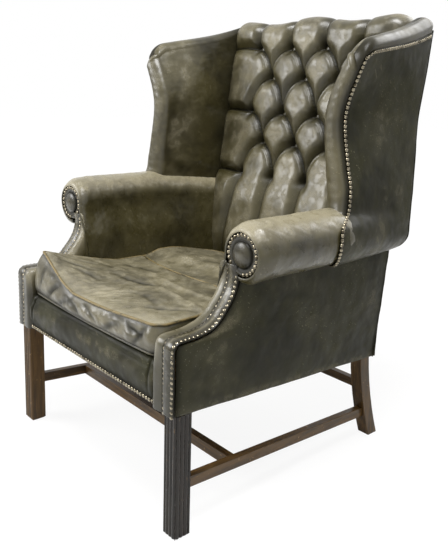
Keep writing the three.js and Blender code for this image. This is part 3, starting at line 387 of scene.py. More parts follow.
class ChairSizes(bpy.types.PropertyGroup):
    nail_pitch: bpy.props.FloatProperty(
        name="Nail pitch", description="Distance between two nail heads along a row",
        default=0.011, unit="LENGTH")
    nail_radius: bpy.props.FloatProperty(
        name="Nail head radius", description="Radius of a domed nail head",
        default=0.0048, unit="LENGTH")
    button_radius: bpy.props.FloatProperty(
        name="Button radius", description="Radius of a covered button of the back",
        default=0.0095, unit="LENGTH")
    leather_thickness: bpy.props.FloatProperty(
        name="Leather thickness", description="Thickness of the hide with its lining",
        default=0.003, unit="LENGTH")
    piping_radius: bpy.props.FloatProperty(
        name="Piping radius", description="Radius of the piping of the cushion",
        default=0.0034, unit="LENGTH")
    tuft_height: bpy.props.FloatProperty(
        name="Tuft height", description="Height of the stuffing over the button pits",
        default=0.038, unit="LENGTH")


class ChairColours(bpy.types.PropertyGroup):
    hide: bpy.props.FloatVectorProperty(
        name="Hide", description="Olive hide of the back, the wings and the front",
        subtype="COLOR", size=4, default=linear("#39341c"))
    # Paler hide of wear; also the colour of the painted highlight on the front roll and of the painted light
    # on the arm tops
    rubbed: bpy.props.FloatVectorProperty(
        name="Rubbed hide", description="Paler hide where hands and clothes have rubbed it",
        subtype="COLOR", size=4, default=linear("#958d74"))
    # Painted shade: the colour that folds, pits, seams and edges are darkened towards
    shaded: bpy.props.FloatVectorProperty(
        name="Painted shade", description="Wax and dirt left in the folds",
        subtype="COLOR", size=4, default=linear("#0c0c08"))
    outside: bpy.props.FloatVectorProperty(
        name="Outside hide", description="Dark hide of the outside panels",
        subtype="COLOR", size=4, default=linear("#2a2919"))
    piping: bpy.props.FloatVectorProperty(
        name="Piping", description="Tan core of the piping where the finish has gone",
        subtype="COLOR", size=4, default=linear("#6c5d37"))
    nails: bpy.props.FloatVectorProperty(
        name="Nails", description="Bright face of the nail heads",
        subtype="COLOR", size=4, default=linear("#8b8371"))
    polished: bpy.props.FloatVectorProperty(
        name="Polished mahogany", description="Nearly black front leg",
        subtype="COLOR", size=4, default=linear("#1a130c"))
    faded: bpy.props.FloatVectorProperty(
        name="Faded mahogany", description="Browner legs and stretchers",
        subtype="COLOR", size=4, default=linear("#4e3819"))


def sizes():
    return bpy.context.scene.chair_sizes


def colours():
    return bpy.context.scene.chair_colours


# Materials

def add(tree, kind, settings=None, inputs=None):
    """Adds a node; an input takes a value or a socket of another node."""
    node = tree.nodes.new(kind)
    for key, value in (settings or {}).items():
        setattr(node, key, value)
    for key, value in (inputs or {}).items():
        if isinstance(value, bpy.types.NodeSocket):
            tree.links.new(value, node.inputs[key])
        else:
            node.inputs[key].default_value = value
    return node


def per_mm(millimetres):
    """Texture scale that gives features of the size in mm."""
    return 1000 / millimetres


def start_material(name):
    material = bpy.data.materials.new(name)
    material.use_nodes = True
    tree = material.node_tree
    tree.nodes.clear()
    return material, tree, add(tree, "ShaderNodeTexCoord").outputs["Object"]


def finish_material(material, inputs):
    """Ends a material with a surface that has the given inputs."""
    shader = add(material.node_tree, "ShaderNodeBsdfPrincipled", None, inputs)
    add(material.node_tree, "ShaderNodeOutputMaterial", None, {"Surface": shader.outputs[0]})
    return material


def toned(colour, factor):
    """Darker or lighter version of a linear colour."""
    return [min(1.0, channel * factor) for channel in colour[:3]] + [1.0]


def blend_colours(tree, factor, first, second):
    """Colour between two, given as values or sockets."""
    return add(tree, "ShaderNodeMix", {"data_type": "RGBA"}, {0: factor, 6: first, 7: second}).outputs[2]


def ramp(tree, value, low, high, to_low=0.0, to_high=1.0):
    """Value carried from one range to another and held at its ends."""
    stops = {"Value": value, "From Min": low, "From Max": high, "To Min": to_low, "To Max": to_high}
    return add(tree, "ShaderNodeMapRange", {"interpolation_type": "SMOOTHSTEP"}, stops).outputs[0]


def maths(tree, operation, *values):
    inputs = dict(enumerate(values))
    return add(tree, "ShaderNodeMath", {"operation": operation, "use_clamp": True}, inputs).outputs[0]


def times(tree, first, second):
    return maths(tree, "MULTIPLY", first, second)


def bump(tree, height, strength, distance, normal=None, invert=False):
    """Normal of a relief that rises by the distance in metres."""
    inputs = {"Strength": strength, "Distance": distance, "Height": height}
    if normal:
        inputs["Normal"] = normal
    return add(tree, "ShaderNodeBump", {"invert": invert}, inputs).outputs[0]


def noise_at(tree, where, size, detail=4.0, distortion=0.0):
    """Noise with features of the size in mm."""
    inputs = {"Vector": where, "Scale": per_mm(size), "Detail": detail, "Distortion": distortion}
    return add(tree, "ShaderNodeTexNoise", None, inputs).outputs[0]


def mark(tree, name):
    """Number that the mesh keeps under a name."""
    return add(tree, "ShaderNodeAttribute", {"attribute_name": name}).outputs["Fac"]


# Aniline hide, hand rubbed and waxed: olive, taken near black in the folds by painted shade, paler and
# drier where it is worn. The grain is 1 mm on the hide and is drawn at 2.6 mm so that it shows.
def hide_material(name, base, wear=0.55, gloss=0.36, cracks=0.35, sheen=0.42):
    material, tree, where = start_material(name)
    rubbed = colours().rubbed[:]
    clouds = noise_at(tree, where, 150, 3.0, 0.3)
    mottle = noise_at(tree, where, 26, 6.0, 0.3)
    painted_shade = mark(tree, "painted_shade")
    wear_and_highlight = mark(tree, "wear_and_highlight")

    ground = blend_colours(tree, ramp(tree, clouds, 0.34, 0.62), toned(base, 0.45), base)
    ground = blend_colours(tree, times(tree, ramp(tree, mottle, 0.45, 0.75), 0.3), ground, toned(base, 1.6))
    patch = times(tree, ramp(tree, mottle, 0.25, 0.7, 0.8, 1.0), ramp(tree, clouds, 0.25, 0.6, 0.7, 1.0))
    # Paler towards the rubbed colour where the rub mark is high: wear, and on the front roll and the arm
    # tops also painted light
    ground = blend_colours(tree, times(tree, times(tree, wear_and_highlight, patch), wear * 2), ground, rubbed)
    scratched = ramp(tree, clouds, 0.45, 0.6)
    for turn in ((0.9, 0.2, 0.4), (2.2, 1.1, 1.9)):
        stretch = add(tree, "ShaderNodeMapping", {"vector_type": "TEXTURE"}, {
            "Vector": where, "Rotation": turn, "Scale": (1.0, 1.0, 30.0)}).outputs[0]
        scratch = times(tree, ramp(tree, noise_at(tree, stretch, 3.0, 0.0), 0.78, 0.82), scratched)
        ground = blend_colours(tree, times(tree, scratch, 0.3), ground, rubbed)

    shift = add(tree, "ShaderNodeTexNoise", None, {
        "Vector": where, "Scale": per_mm(9), "Detail": 2.0}).outputs[1]
    bent = add(tree, "ShaderNodeVectorMath", {"operation": "ADD"}, {0: where, 1: shift}).outputs[0]
    web = add(tree, "ShaderNodeTexVoronoi", {"feature": "DISTANCE_TO_EDGE"}, {
        "Vector": bent, "Scale": per_mm(13)}).outputs["Distance"]
    crack = times(tree, ramp(tree, web, 0.0, 0.11, 1.0, 0.0), ramp(tree, mottle, 0.44, 0.6))
    crack = times(tree, crack, ramp(tree, wear_and_highlight, 0.2, 0.7))
    ground = blend_colours(tree, times(tree, crack, cracks), ground, linear("#b3a98a"))
    # Painted shade: darker towards the shaded colour where the mesh marks folds, pits, seams and edges
    ground = blend_colours(tree, times(tree, painted_shade, 0.93), ground, colours().shaded[:])

    pebbles = add(tree, "ShaderNodeTexVoronoi", {"feature": "SMOOTH_F1"}, {
        "Vector": where, "Scale": per_mm(2.6), "Smoothness": 0.6}).outputs["Distance"]
    grain = bump(tree, pebbles, 0.22, 0.0006)
    dents = bump(tree, mottle, 0.25, 0.0015, grain)
    polish = ramp(tree, mottle, 0.3, 0.75, gloss - 0.07, gloss + 0.14)
    return finish_material(material, {
        "Base Color": ground,
        "Roughness": maths(tree, "MULTIPLY_ADD", painted_shade, 0.3, polish),
        "Normal": bump(tree, crack, 0.5, 0.001, dents, invert=True),
        "IOR": 1.48,
        # Painted shade also dims the reflection in the marked folds and edges
        "Specular IOR Level": ramp(tree, painted_shade, 0.0, 1.0, sheen, 0.1 * sheen),
        "Coat Weight": 0.5 * sheen,
        "Coat Roughness": 0.28,
    })


# Piping: a cord under thin hide whose finish has rubbed down to tan on the outside
def piping_material(name):
    material, tree, where = start_material(name)
    wear = ramp(tree, noise_at(tree, where, 22, 4.0), 0.3, 0.48)
    return finish_material(material, {
        "Base Color": blend_colours(tree, wear, colours().hide[:], colours().piping[:]),
        "Normal": bump(tree, noise_at(tree, where, 2.5, 2.0), 0.3, 0.0008),
        "Roughness": 0.55,
    })


# Brass-plated steel nail heads: bright, with patches of brown tarnish
def nail_material(name):
    material, tree, where = start_material(name)
    tarnish = ramp(tree, noise_at(tree, where, 9, 2.0), 0.42, 0.68)
    return finish_material(material, {
        "Base Color": blend_colours(tree, tarnish, colours().nails[:], linear("#453f33")),
        "Roughness": ramp(tree, tarnish, 0.0, 1.0, 0.16, 0.35),
        "Metallic": 1.0,
    })


# French-polished mahogany: straight fine grain along the piece under a worn shellac gloss
def wood_material(name, base, gloss, along_axis, wear=0.35):
    material, tree, where = start_material(name)
    stretch = [0.06 if axis == along_axis else 1.0 for axis in "xyz"]
    lay = add(tree, "ShaderNodeMapping", None, {"Vector": where, "Scale": stretch}).outputs[0]
    fibre = noise_at(tree, lay, 3.2, 4.0, 0.3)
    bands = noise_at(tree, lay, 18, 3.0, 1.2)
    tint = blend_colours(tree, ramp(tree, bands, 0.34, 0.66), toned(base, 0.38), base)
    tint = blend_colours(tree, times(tree, ramp(tree, fibre, 0.52, 0.72), 0.6), tint, toned(base, 1.75))
    chips = times(tree, ramp(tree, noise_at(tree, where, 9, 5.0), 0.66, 0.72), wear)
    return finish_material(material, {
        "Base Color": blend_colours(tree, chips, tint, linear("#9a7a4e")),
        "Roughness": ramp(tree, fibre, 0.3, 0.7, gloss, gloss + 0.16),
        "Normal": bump(tree, fibre, 0.18, 0.0006),
        "IOR": 1.5,
        "Specular IOR Level": 0.25,
        "Coat Weight": 0.12,
        "Coat Roughness": 0.15,
    })


# Woven stuff: threads drawn at the pitch in mm
def cloth_material(name, base, pitch):
    material, tree, where = start_material(name)
    weave = [add(tree, "ShaderNodeTexWave", {"bands_direction": axis}, {
        "Vector": where, "Scale": per_mm(pitch) / 20, "Distortion": 0.6}).outputs[1] for axis in ("X", "Y")]
    threads = times(tree, *weave)
    dust = ramp(tree, noise_at(tree, where, 60, 4.0), 0.35, 0.7)
    return finish_material(material, {
        "Base Color": blend_colours(tree, times(tree, threads, dust), toned(base, 0.5), base),
        "Normal": bump(tree, threads, 0.6, 0.001),
        "Roughness": 0.9,
    })


# Matt white paper: shows as plain white and keeps the shadow of the chair
def floor_material(name):
    material, tree, where = start_material(name)
    paper = add(tree, "ShaderNodeBsdfPrincipled", None, {"Base Color": linear("#f4f4f2"), "Roughness": 0.95})
    rays = add(tree, "ShaderNodeLightPath")
    away = add(tree, "ShaderNodeVectorMath", {"operation": "LENGTH"}, {0: where}).outputs["Value"]
    lift = times(tree, rays.outputs["Is Camera Ray"], ramp(tree, away, 1.0, 4.5, 0.87, 1.0))
    glow = add(tree, "ShaderNodeEmission", None, {"Color": (1, 1, 1, 1), "Strength": 1.03})
    mixed = add(tree, "ShaderNodeMixShader", None, {0: lift, 1: paper.outputs[0], 2: glow.outputs[0]})
    add(tree, "ShaderNodeOutputMaterial", None, {"Surface": mixed.outputs[0]})
    return material


def material_of(name):
    """The material of the name, made the first time that it is asked for."""
    if name in bpy.data.materials:
        return bpy.data.materials[name]
    tints = colours()
    makers = {
        # Back, wings: the olive hide with little wear
        "aged_hide": lambda n: hide_material(n, tints.hide[:], 0.2, 0.35),
        # Arms and cushion: the same hide, rubbed pale and crackled by use
        "rubbed_hide": lambda n: hide_material(n, tints.hide[:], 0.46, 0.32, 0.5, 0.5),
        # Arm strips and scroll discs: the hide at half its brightness as painted shade, and shiny
        "waxed_hide": lambda n: hide_material(n, toned(tints.hide, 0.5), 0.3, 0.24, sheen=0.4),
        # Outside panels and front roll: nearly black and duller
        "dark_hide": lambda n: hide_material(n, tints.outside[:], 0.06, 0.38, 0.3, 0.1),
        "tan_piping": piping_material,
        "antique_nails": nail_material,
        # Near front leg: thick shellac, nearly black
        "shellac_mahogany": lambda n: wood_material(n, tints.polished[:], 0.2, "z", 0.2),
        # Other legs and the stretchers: shellac rubbed thin, brown, with small chips
        "rubbed_mahogany": lambda n: wood_material(n, tints.faded[:], 0.34, "z", 0.4),
        "stretcher_mahogany_x": lambda n: wood_material(n, tints.faded[:], 0.34, "x", 0.5),
        "stretcher_mahogany_y": lambda n: wood_material(n, tints.faded[:], 0.34, "y", 0.6),
        # Hidden frame, webbing and dust cloth: dry and plain
        "bare_beech": lambda n: wood_material(n, linear("#b08f66"), 0.7, "x", 0.1),
        "jute_webbing": lambda n: cloth_material(n, linear("#8d7752"), 2.4),
        "black_cotton": lambda n: cloth_material(n, linear("#2c2b28"), 1.8),
        "pale_floor": floor_material,
    }
    return makers[name](name)


# Buttoned back

def row_buttons(row):
    """Places x of the buttons of a row: four and three by turns."""
    steps = (-1.5, -0.5, 0.5, 1.5) if row % 2 == 0 else (-1, 0, 1)
    return [step * BUTTON_PITCH for step in steps]


def fold_curves():
    """Folds of the back as (points x z, height at each point, width of the lip)."""
    curves = []
    t = np.linspace(0, 1, 10)
    for row, z in enumerate(BUTTON_ROWS):
        for x in row_buttons(row):
            if row + 1 < len(BUTTON_ROWS):
                for other in row_buttons(row + 1):
                    if abs(abs(other - x) - BUTTON_PITCH / 2) > 1:
                        continue
                    drop = z - BUTTON_ROWS[row + 1]
                    across = mix(t, np.sin(t * math.pi / 2), FOLD_ARCH)
                    down = mix(t, 1 - np.cos(t * math.pi / 2), FOLD_ARCH)
                    line = np.stack([mix(x, other, across), z - drop * down], axis=1)
                    curves.append((line, FOLD_LIFT * np.sin(t * math.pi) ** 0.7, 1.0))
            if row % 2 == 0 and abs(x) > BUTTON_PITCH:
                side = math.copysign(1, x)
                line = np.stack([mix(x, side * BACK_HALF, t), z + 5 * np.sin(t * math.pi)], axis=1)
                curves.append((line, FOLD_LIFT * 0.6 * t, 0.8))
            if row == 0:
                lean = 9 * np.sin(t * math.pi / 2)
                line = np.stack([x * mix(1, 1.02, t) + lean, mix(z, CREST_HEIGHT + 60, t)], axis=1)
                curves.append((line, FOLD_LIFT * 2.5 * t**0.8, 0.25))
            if row == len(BUTTON_ROWS) - 1:
                line = np.stack([x * mix(1, 1.12, t) - 12 * t, mix(z, BACK_BOTTOM_Z, t)], axis=1)
                curves.append((line, FOLD_LIFT * 2 * t ** 0.7, 0.3))
    return curves


def tufting(x, z, height):
    """Height of the stuffing, nearness to a fold and nearness to a button, for arrays x and z."""
    softness = 1.6
    total = np.zeros_like(x)
    fold = np.full_like(x, 1e3)
    for line, levels, lip in fold_curves():
        best = np.full_like(x, 1e6)
        side = np.zeros_like(x)
        level = np.zeros_like(x)
        for k in range(len(line) - 1):
            (ax, az), (bx, bz) = line[k], line[k + 1]
            run = math.hypot(bx - ax, bz - az)
            share = clamp(((x - ax) * (bx - ax) + (z - az) * (bz - az)) / run**2)
            px, pz = x - ax - share * (bx - ax), z - az - share * (bz - az)
            distance = np.hypot(px, pz)
            left = (px * (bz - az) - pz * (bx - ax)) / run / np.maximum(distance, 1e-6)
            below = left * math.copysign(1, bx - ax) if abs(bx - ax) > 1e-6 else left
            closer = distance < best
            best = np.where(closer, distance, best)
            side = np.where(closer, below, side)
            level = np.where(closer, mix(levels[k], levels[k + 1], share), level)
        near = clamp(best / TUFT_REACH)
        steep = np.sqrt(1 - (1 - near) ** 2)
        gentle = np.sin(near * math.pi / 2) ** 0.85
        form = mix(gentle, steep, (side + 1) / 2)
        rise = level + (height - level) * form
        ridge = lip * (2.8 * bell(best - 4.6, 2.6) - 1.8 * bell(best - 10.0, 2.8)) * clamp(side * 2)
        total += np.exp(-(rise + ridge) / softness)
        fold = np.minimum(fold, best * mix(1.0, 1.5, clamp(side)))
    button = np.full_like(x, 1e3)
    for row, level in enumerate(BUTTON_ROWS):
        up = z - level - 5
        for place in row_buttons(row):
            button = np.minimum(button, np.hypot(x - place, up / np.where(up > 0, 1.5, 1)))
    surface = -softness * np.log(total) - PIT_DEPTH * bell(button, PIT_RADIUS)
    return surface, fold, button


def edge_fall(x):
    """Share left of the stuffing where it rolls down to the wings and the arms."""
    near = clamp((np.abs(x) - BACK_FALL_START) / BACK_FALL_WIDTH)
    return np.sqrt(1 - near**2)


def crest_z(x):
    """Height of the wavy crest."""
    fade = 1 - 0.5 * np.abs(x) / BACK_HALF
    return CREST_HEIGHT + CREST_WAVE * fade * np.cos(2 * math.pi * x / CREST_WAVELENGTH)


def pit_y(z):
    """Depth y of the button pits."""
    return PIT_FOOT_Y + PIT_RAKE * z


def lumbar(z):
    """Extra stuffing of the lower back, in mm."""
    return LUMBAR_HEIGHT * ease(z, 400, 500) * (1 - ease(z, 600, 740))


def back_half(z):
    """Half width of the back: it tucks in behind the arms and the wings."""
    behind = 9
    y = 650.0
    wall = side_x(640, WALL_INSET) + WALL_LEAN * (z - WALL_BOTTOM) + behind
    rise = clamp((z - roll_z(y)) / roll_r(y), 0, 1)
    round_roll = roll_x(y) - roll_r(y) * np.sqrt(1 - rise**2) + behind
    return np.minimum(np.where(z < roll_z(y), wall, np.maximum(round_roll, wall)), BACK_SHEET_HALF)


def back_place(u, v, height):
    """Points of the leather of the back, with the fold and button distances at each."""
    arc_from = 0.9
    side = 2 * u - 1
    flat = clamp(v / arc_from)
    angle = clamp((v - arc_from) / (1 - arc_from)) * math.pi
    z = mix(BACK_BOTTOM_Z, CREST_HEIGHT - CREST_ROUND, flat)
    x = side * back_half(z)
    start_z = crest_z(x) - CREST_ROUND
    z = np.where(angle > 0, start_z, z + (start_z - (CREST_HEIGHT - CREST_ROUND)) * ease(flat, 0.8, 1))
    surface, fold, button = tufting(x, z, height)
    stuffing = (surface + 12 + lumbar(z)) * edge_fall(x) - 12
    y = pit_y(z) - stuffing
    at_end = clamp((np.abs(x) - BACK_SHEET_HALF + CREST_TUCK_WIDTH) / CREST_TUCK_WIDTH)
    tuck = CREST_TUCK * (1 - np.sqrt(1 - at_end**2))
    end_z = crest_z(x) - CREST_DROP
    end_y = back_face(end_z) - 0.3
    share = (1 - np.cos(angle)) / 2
    top_fold = tufting(x, np.full_like(x, CREST_HEIGHT), height)[1]
    dip = 6 * bell(top_fold, PIT_RADIUS) * np.sin(angle) ** 0.5
    rise = (CREST_ROUND - dip - tuck) * np.sin(angle) ** 0.8
    y = np.where(angle > 0, mix(y, end_y, share), y)
    z = np.where(angle > 0, mix(start_z, end_z, share) + rise, z)
    fold = np.where(angle > 0, np.maximum(top_fold, 2 + 5 * share), fold)
    return x, y, z, fold, button


def back_leather(u, v):
    """Points, painted shade and wear of the buttoned back; the other leather functions return the same."""
    x, y, z, fold, button = back_place(u, v, sizes().tuft_height * 1000)
    points = to_scene(x, y, z)
    ruffle = rumple(points, (26, 3.1, 4, 0.3), (90, 7.7, 2, 1.8)) * 0.9 * clamp(fold / 10)
    points[:, 1] -= ruffle / 1000
    plump = clamp((fold - 12) / 26)
    wear_and_highlight = plump * clamp(0.55 + 0.5 * wander(points, 70, 5.0, 3))
    # Painted shade: darker in the folds and round the button pits
    return points, np.maximum(0.9 * bell(fold, 4.0), bell(button, 17)), wear_and_highlight


# Wings

def lap_point(y, angle):
    """Point x and z of the wing where it laps over the arm roll."""
    turn = math.radians(angle)
    r = roll_r(y) + LAP_OVER_ROLL
    return float(roll_x(y) + r * math.cos(turn)), float(roll_z(y) + r * math.sin(turn))


def wing_guides():
    """Matching guide points: nailed edge, outer rear edge, inner front edge, inner rear edge."""
    nails, rear, inner = [], [], []
    for angle, y in zip(LAP_ANGLES, LAP_FRONT_Y):
        x, z = lap_point(y, angle)
        nails.append((x, y, z))
        inner.append((WING_INNER_FOOT_X, WING_INNER_Y, z))
    for x, z, inside in zip(WING_NAIL_X, WING_NAIL_Z, WING_INNER_X):
        nails.append((x, WING_NAIL_Y, z))
        inner.append((inside, WING_INNER_Y, min(z, WING_INNER_TOP_Z)))
    line = [lap_point(ROLL_REAR_Y, angle) for angle in LAP_ANGLES[:-1]] + [LAP_REAR_TOP]
    line += list(zip(WING_REAR_X, WING_REAR_Z))
    rear = [(x, back_face(z) - PANEL - 0.3, z) for x, z in line]
    inner_rear = [(WING_INNER_REAR_X, post_front(z) - 0.3, z) for _, z in line]
    return nails, rear, inner, inner_rear


WING_GUIDES = wing_guides()


def wing_face(first, second, u, t, rounded=True):
    """Points of a face of the wing; its top front corner is rounded unless asked otherwise."""
    u, t = np.asarray(u, float), np.asarray(t, float)
    if rounded:
        depth = mix(spline(WING_GUIDES[first], t), spline(WING_GUIDES[second], t), u[..., None])[..., 1]
        corner = clamp(1 - (depth - WING_NAIL_Y) / WING_CORNER)
        t = t - WING_CORNER_CUT * (1 - np.sqrt(1 - corner**2)) * ease(t, 0.76, 1)
    points = mix(spline(WING_GUIDES[first], t), spline(WING_GUIDES[second], t), u[..., None])
    points[..., 2] -= WING_TOP_DIP * np.sin(math.pi * u) * ease(t, 0.8, 1) * u
    return points


def wing_outer(u, t, rounded=True):
    return wing_face(0, 1, u, t, rounded)


def wing_place(u, v):
    """Leather of the inside wing: u runs over the inner face, the front roll and the outer face."""
    top_from = 0.9
    inner_to, roll_to = 0.46, 0.7
    t = mix(WING_START, 1, clamp(v / top_from))
    angle = clamp((v - top_from) / (1 - top_from)) * math.pi / 2
    closing = np.cos(angle)
    rise = WING_TOP_RISE * np.sin(angle)
    on_inner = clamp(u / inner_to)
    on_roll = clamp((u - inner_to) / (roll_to - inner_to))
    on_outer = clamp((u - roll_to) / (1 - roll_to))
    depth = np.where(u < inner_to, 1 - on_inner, on_outer)
    inner, outer = wing_face(2, 3, depth, t), wing_outer(depth, t)
    swing = -np.cos(on_roll * math.pi)
    side = np.where(u < inner_to, -1.0, np.where(u > roll_to, 1.0, swing))
    middle = (inner + outer) / 2
    points = middle + (outer - inner) / 2 * (side * closing)[:, None]
    points[:, 1] -= WING_ROLL_PROUD * np.sin(on_roll * math.pi) * closing
    points[:, 2] += rise
    pad = np.where(u < inner_to, np.sin(on_inner * math.pi) ** 2, 0) * ease(t, WING_START, 0.5)
    points[:, 0] -= 8 * pad * closing
    return points


def wing_leather(u, v):
    raw = wing_place(u, v)
    points = to_scene(*raw.T)
    inner = 1 - ease(u, 0.42, 0.5)
    points[:, 0] -= rumple(points, (120, 2.0, 2, 3.0), (34, 4.0, 3, 0.9)) * inner / 1000
    puckers = np.sin(raw[:, 2] * 2 * math.pi / 23 + 2 * wander(points, 60, 1.0, 2))
    roll = bell(u - 0.58, 0.12)
    points[:, 1] += 0.25 * puckers * roll / 1000
    # Painted shade: darker at the rear of the inner face, where it meets the back, and where the front roll
    # turns to the outer face
    painted_shade = np.maximum(clamp(1 - u / 0.2) ** 1.5, bell(u - 0.71, 0.035) * 0.85)
    handled = 0.8 * inner * ease(u, 0.2, 0.42) * clamp(0.55 + wander(points, 110, 6.0, 3))
    return points, painted_shade, np.maximum(roll * 0.4, handled)


def outside_wing_place(u, v, proud=2.0):
    """Points and normals of the outside wing: u runs back from the nails, v up from the roll."""
    t = mix(0.0, 0.982, v)
    depth = mix(0.03 * ease(t, 0.3, 0.42), 1.0, u)
    points = wing_outer(depth, t)
    ahead, behind = np.minimum(depth + 0.05, 1), np.maximum(depth - 0.05, 0)
    above, below = np.minimum(t + 0.02, 1), np.maximum(t - 0.02, 0)
    normal = np.cross(wing_outer(ahead, t, False) - wing_outer(behind, t, False),
                      wing_outer(depth, above, False) - wing_outer(depth, below, False))
    normal /= np.linalg.norm(normal, axis=1)[:, None]
    swell = proud + 4.0 * (np.sin(math.pi * u) * np.sin(math.pi * clamp(v, 0.02, 0.98))) ** 0.6
    return points + normal * swell[:, None], normal


def outside_wing_leather(u, v):
    points = to_scene(*outside_wing_place(u, v)[0].T)
    points[:, 0] += rumple(points, (150, 9.0, 3, 2.0), (40, 2.0, 3, 0.6)) / 1000
    # Painted shade: darker round the rims of the panel and along its nailed front edge
    painted_shade = np.maximum(0.5 * bell(rim_distance(u, v), 0.012), 0.85 * bell(u, 0.035))
    return points, painted_shade, 0.5 * clamp(wander(points, 130, 12.0, 4) + 0.2)


# Arms

def quad_curve(a, b, c, count):
    """Curve from a to c that heads for b."""
    t = np.linspace(0, 1, count)[:, None]
    return (1 - t) ** 2 * np.array(a) + 2 * t * (1 - t) * np.array(b) + t**2 * np.array(c)


def facing_line(offset, count=120):
    """Front of the arm in the y-z plane from the hem to the scroll, moved outwards by an offset."""
    knee = STRIP_KNEE_Z + STRIP_KNEE
    post = np.array([(STRIP_FRONT_Y, HEM_HEIGHT), (STRIP_FRONT_Y, STRIP_KNEE_Z)])
    bend = quad_curve(post[1], (STRIP_FRONT_Y, knee), (STRIP_FRONT_Y + STRIP_KNEE, knee), 8)
    sweep = spline([tuple(bend[-1])] + list(STRIP_SWEEP), np.linspace(0, 1, 60))
    line = even(np.vstack([post[:1], bend, sweep[1:]]), count)
    tangent = tangents(line)
    return line + offset * np.stack([-tangent[:, 1], tangent[:, 0]], axis=1)


def arm_lean(z):
    """Outward lean of the inside of the arm."""
    return WALL_LEAN * np.maximum(0, z - WALL_BOTTOM)


def front_wall_line():
    """Line where the padded front of the arm meets the strip, up to the scroll."""
    line = facing_line(6)
    line = line[line[:, 1] < 590]
    return np.stack([np.minimum(line[:, 0], ROLL_FRONT_Y - 2), line[:, 1]], axis=1)


FRONT_WALL_LINE = front_wall_line()


def front_wall_place(u, v):
    """Padded front of the arm: u runs along the facing line, v from the strip over the rim and down."""
    rim = 17.0
    over = 0.3
    y, z = along(FRONT_WALL_LINE, u)
    share = ease(u, 0.24, 0.62)
    foot_y = np.maximum(y + 12, mix(58.0, ROLL_FRONT_Y + 6, share))
    foot_z = mix(np.minimum(z, WALL_BOTTOM), WALL_BOTTOM, ease(u, 0.2, 0.34))
    down = clamp((v - over) / (1 - over))
    run = np.hypot(foot_y - y, foot_z - z)
    py, pz = mix(y, foot_y, down), mix(z, foot_z, down)
    inner = side_x(py, WALL_INSET) + arm_lean(pz)
    strip = side_x(py, STRIP_WIDTH)
    across = clamp(v / over)
    flat = strip - inner - rim
    x = np.where(v < over, strip + 3 - (flat + 3) * clamp(across * 1.8), inner + rim)
    bend = clamp((across - 0.55) / 0.45) * math.pi / 2
    x = np.where(v < over, x - rim * np.sin(bend), inner)
    sink = np.where(v < over, rim * (1 - np.cos(bend)), rim)
    away = np.stack([foot_y - y, foot_z - z], axis=1) / np.maximum(run, 1e-6)[:, None]
    py = np.where(v < over, y + away[:, 0] * sink, mix(y + away[:, 0] * rim, foot_y, down))
    pz = np.where(v < over, z + away[:, 1] * sink, mix(z + away[:, 1] * rim, foot_z, down))
    swell = 4.0 * np.sin(math.pi * clamp(v / 0.42)) ** 0.7
    py, pz = py - away[:, 0] * swell * (v < 0.42), pz - away[:, 1] * swell * (v < 0.42)
    bulge = 3.0 * np.sin(math.pi * down) * (v >= over)
    return x - bulge, py, pz


def roll_place(u, v):
    """Wall and roll behind the scroll: u runs back, v from the seat up and round the roll."""
    wall_to = 0.42
    start = ROLL_FRONT_Y - 10
    level = mix(WALL_BOTTOM, DISC_Z, clamp(v / wall_to))
    y = mix(start, np.minimum(ROLL_REAR_Y, back_face(level) - 14), u**1.3)
    front = clamp((y - start) / 24)
    shrink = 14.5 * (1 - np.sqrt(1 - (1 - front) ** 2))
    angle = np.radians(mix(180, ROLL_SEAM_ANGLE, clamp((v - wall_to) / (1 - wall_to))))
    r = roll_r(y) - shrink
    share = ease(y, start, start + 40)
    centre_x, centre_z = mix(DISC_X, roll_x(y), share), mix(DISC_Z, roll_z(y), share)
    round_x, round_z = centre_x + r * np.cos(angle), centre_z + r * np.sin(angle)
    tangent = centre_x - r
    z = mix(WALL_BOTTOM, centre_z, clamp(v / wall_to))
    leaning = side_x(y, WALL_INSET) + arm_lean(z)
    x = mix(leaning, tangent, ease(z, 520, 610))
    x = x - 5 * np.sin(math.pi * clamp(v / wall_to)) ** 0.8 * ease(y, 180, 240)
    return np.where(v < wall_to, x, round_x), y, np.where(v < wall_to, z, round_z)


def front_wall_leather(u, v):
    points = to_scene(*front_wall_place(u, v))
    points[:, 0] -= rumple(points, (55, 21.0, 3, 1.4), (16, 5.0, 3, 0.4)) / 1000
    post = 1 - ease(u, 0.2, 0.36)
    # Painted shade: darker at the strip edge, at the foot and over the whole lower post
    painted_shade = np.maximum(np.maximum(bell(v, 0.03), bell(1 - v, 0.06)), 0.4 * post)
    return points, painted_shade, 0.5 * bell(v - 0.24, 0.1) * (1 - post)


def roll_leather(u, v):
    x, y, z = roll_place(u, v)
    points = to_scene(x, y, z)
    on_roll = ease(v, 0.42, 0.55)
    away = np.stack([x - roll_x(y), z - roll_z(y)], axis=1)
    away_x, away_z = (away / np.linalg.norm(away, axis=1)[:, None]).T
    soft = rumple(points, (70, 31.0, 3, 1.5), (18, 15.0, 4, 0.5))
    around = np.degrees(np.arctan2(away_z, away_x))
    puckers = 0.9 * np.sin(around / 7.5) * bell(y - ROLL_FRONT_Y - 14, 16)
    points[:, 0] += away_x * (soft + puckers) * on_roll / 1000 - soft * (1 - on_roll) / 1000
    points[:, 2] += away_z * (soft + puckers) * on_roll / 1000
    # Wear and painted light: paler on the top and the inner side of the roll. Painted shade: darker at the
    # foot of the wall and at the seam under the roll
    wear_and_highlight = on_roll * clamp(away_z * 1.4 - 0.1 - 0.35 * away_x) * (1 - ease(v, 0.86, 1))
    return points, np.maximum(bell(v, 0.03), bell(1 - v, 0.015)), wear_and_highlight


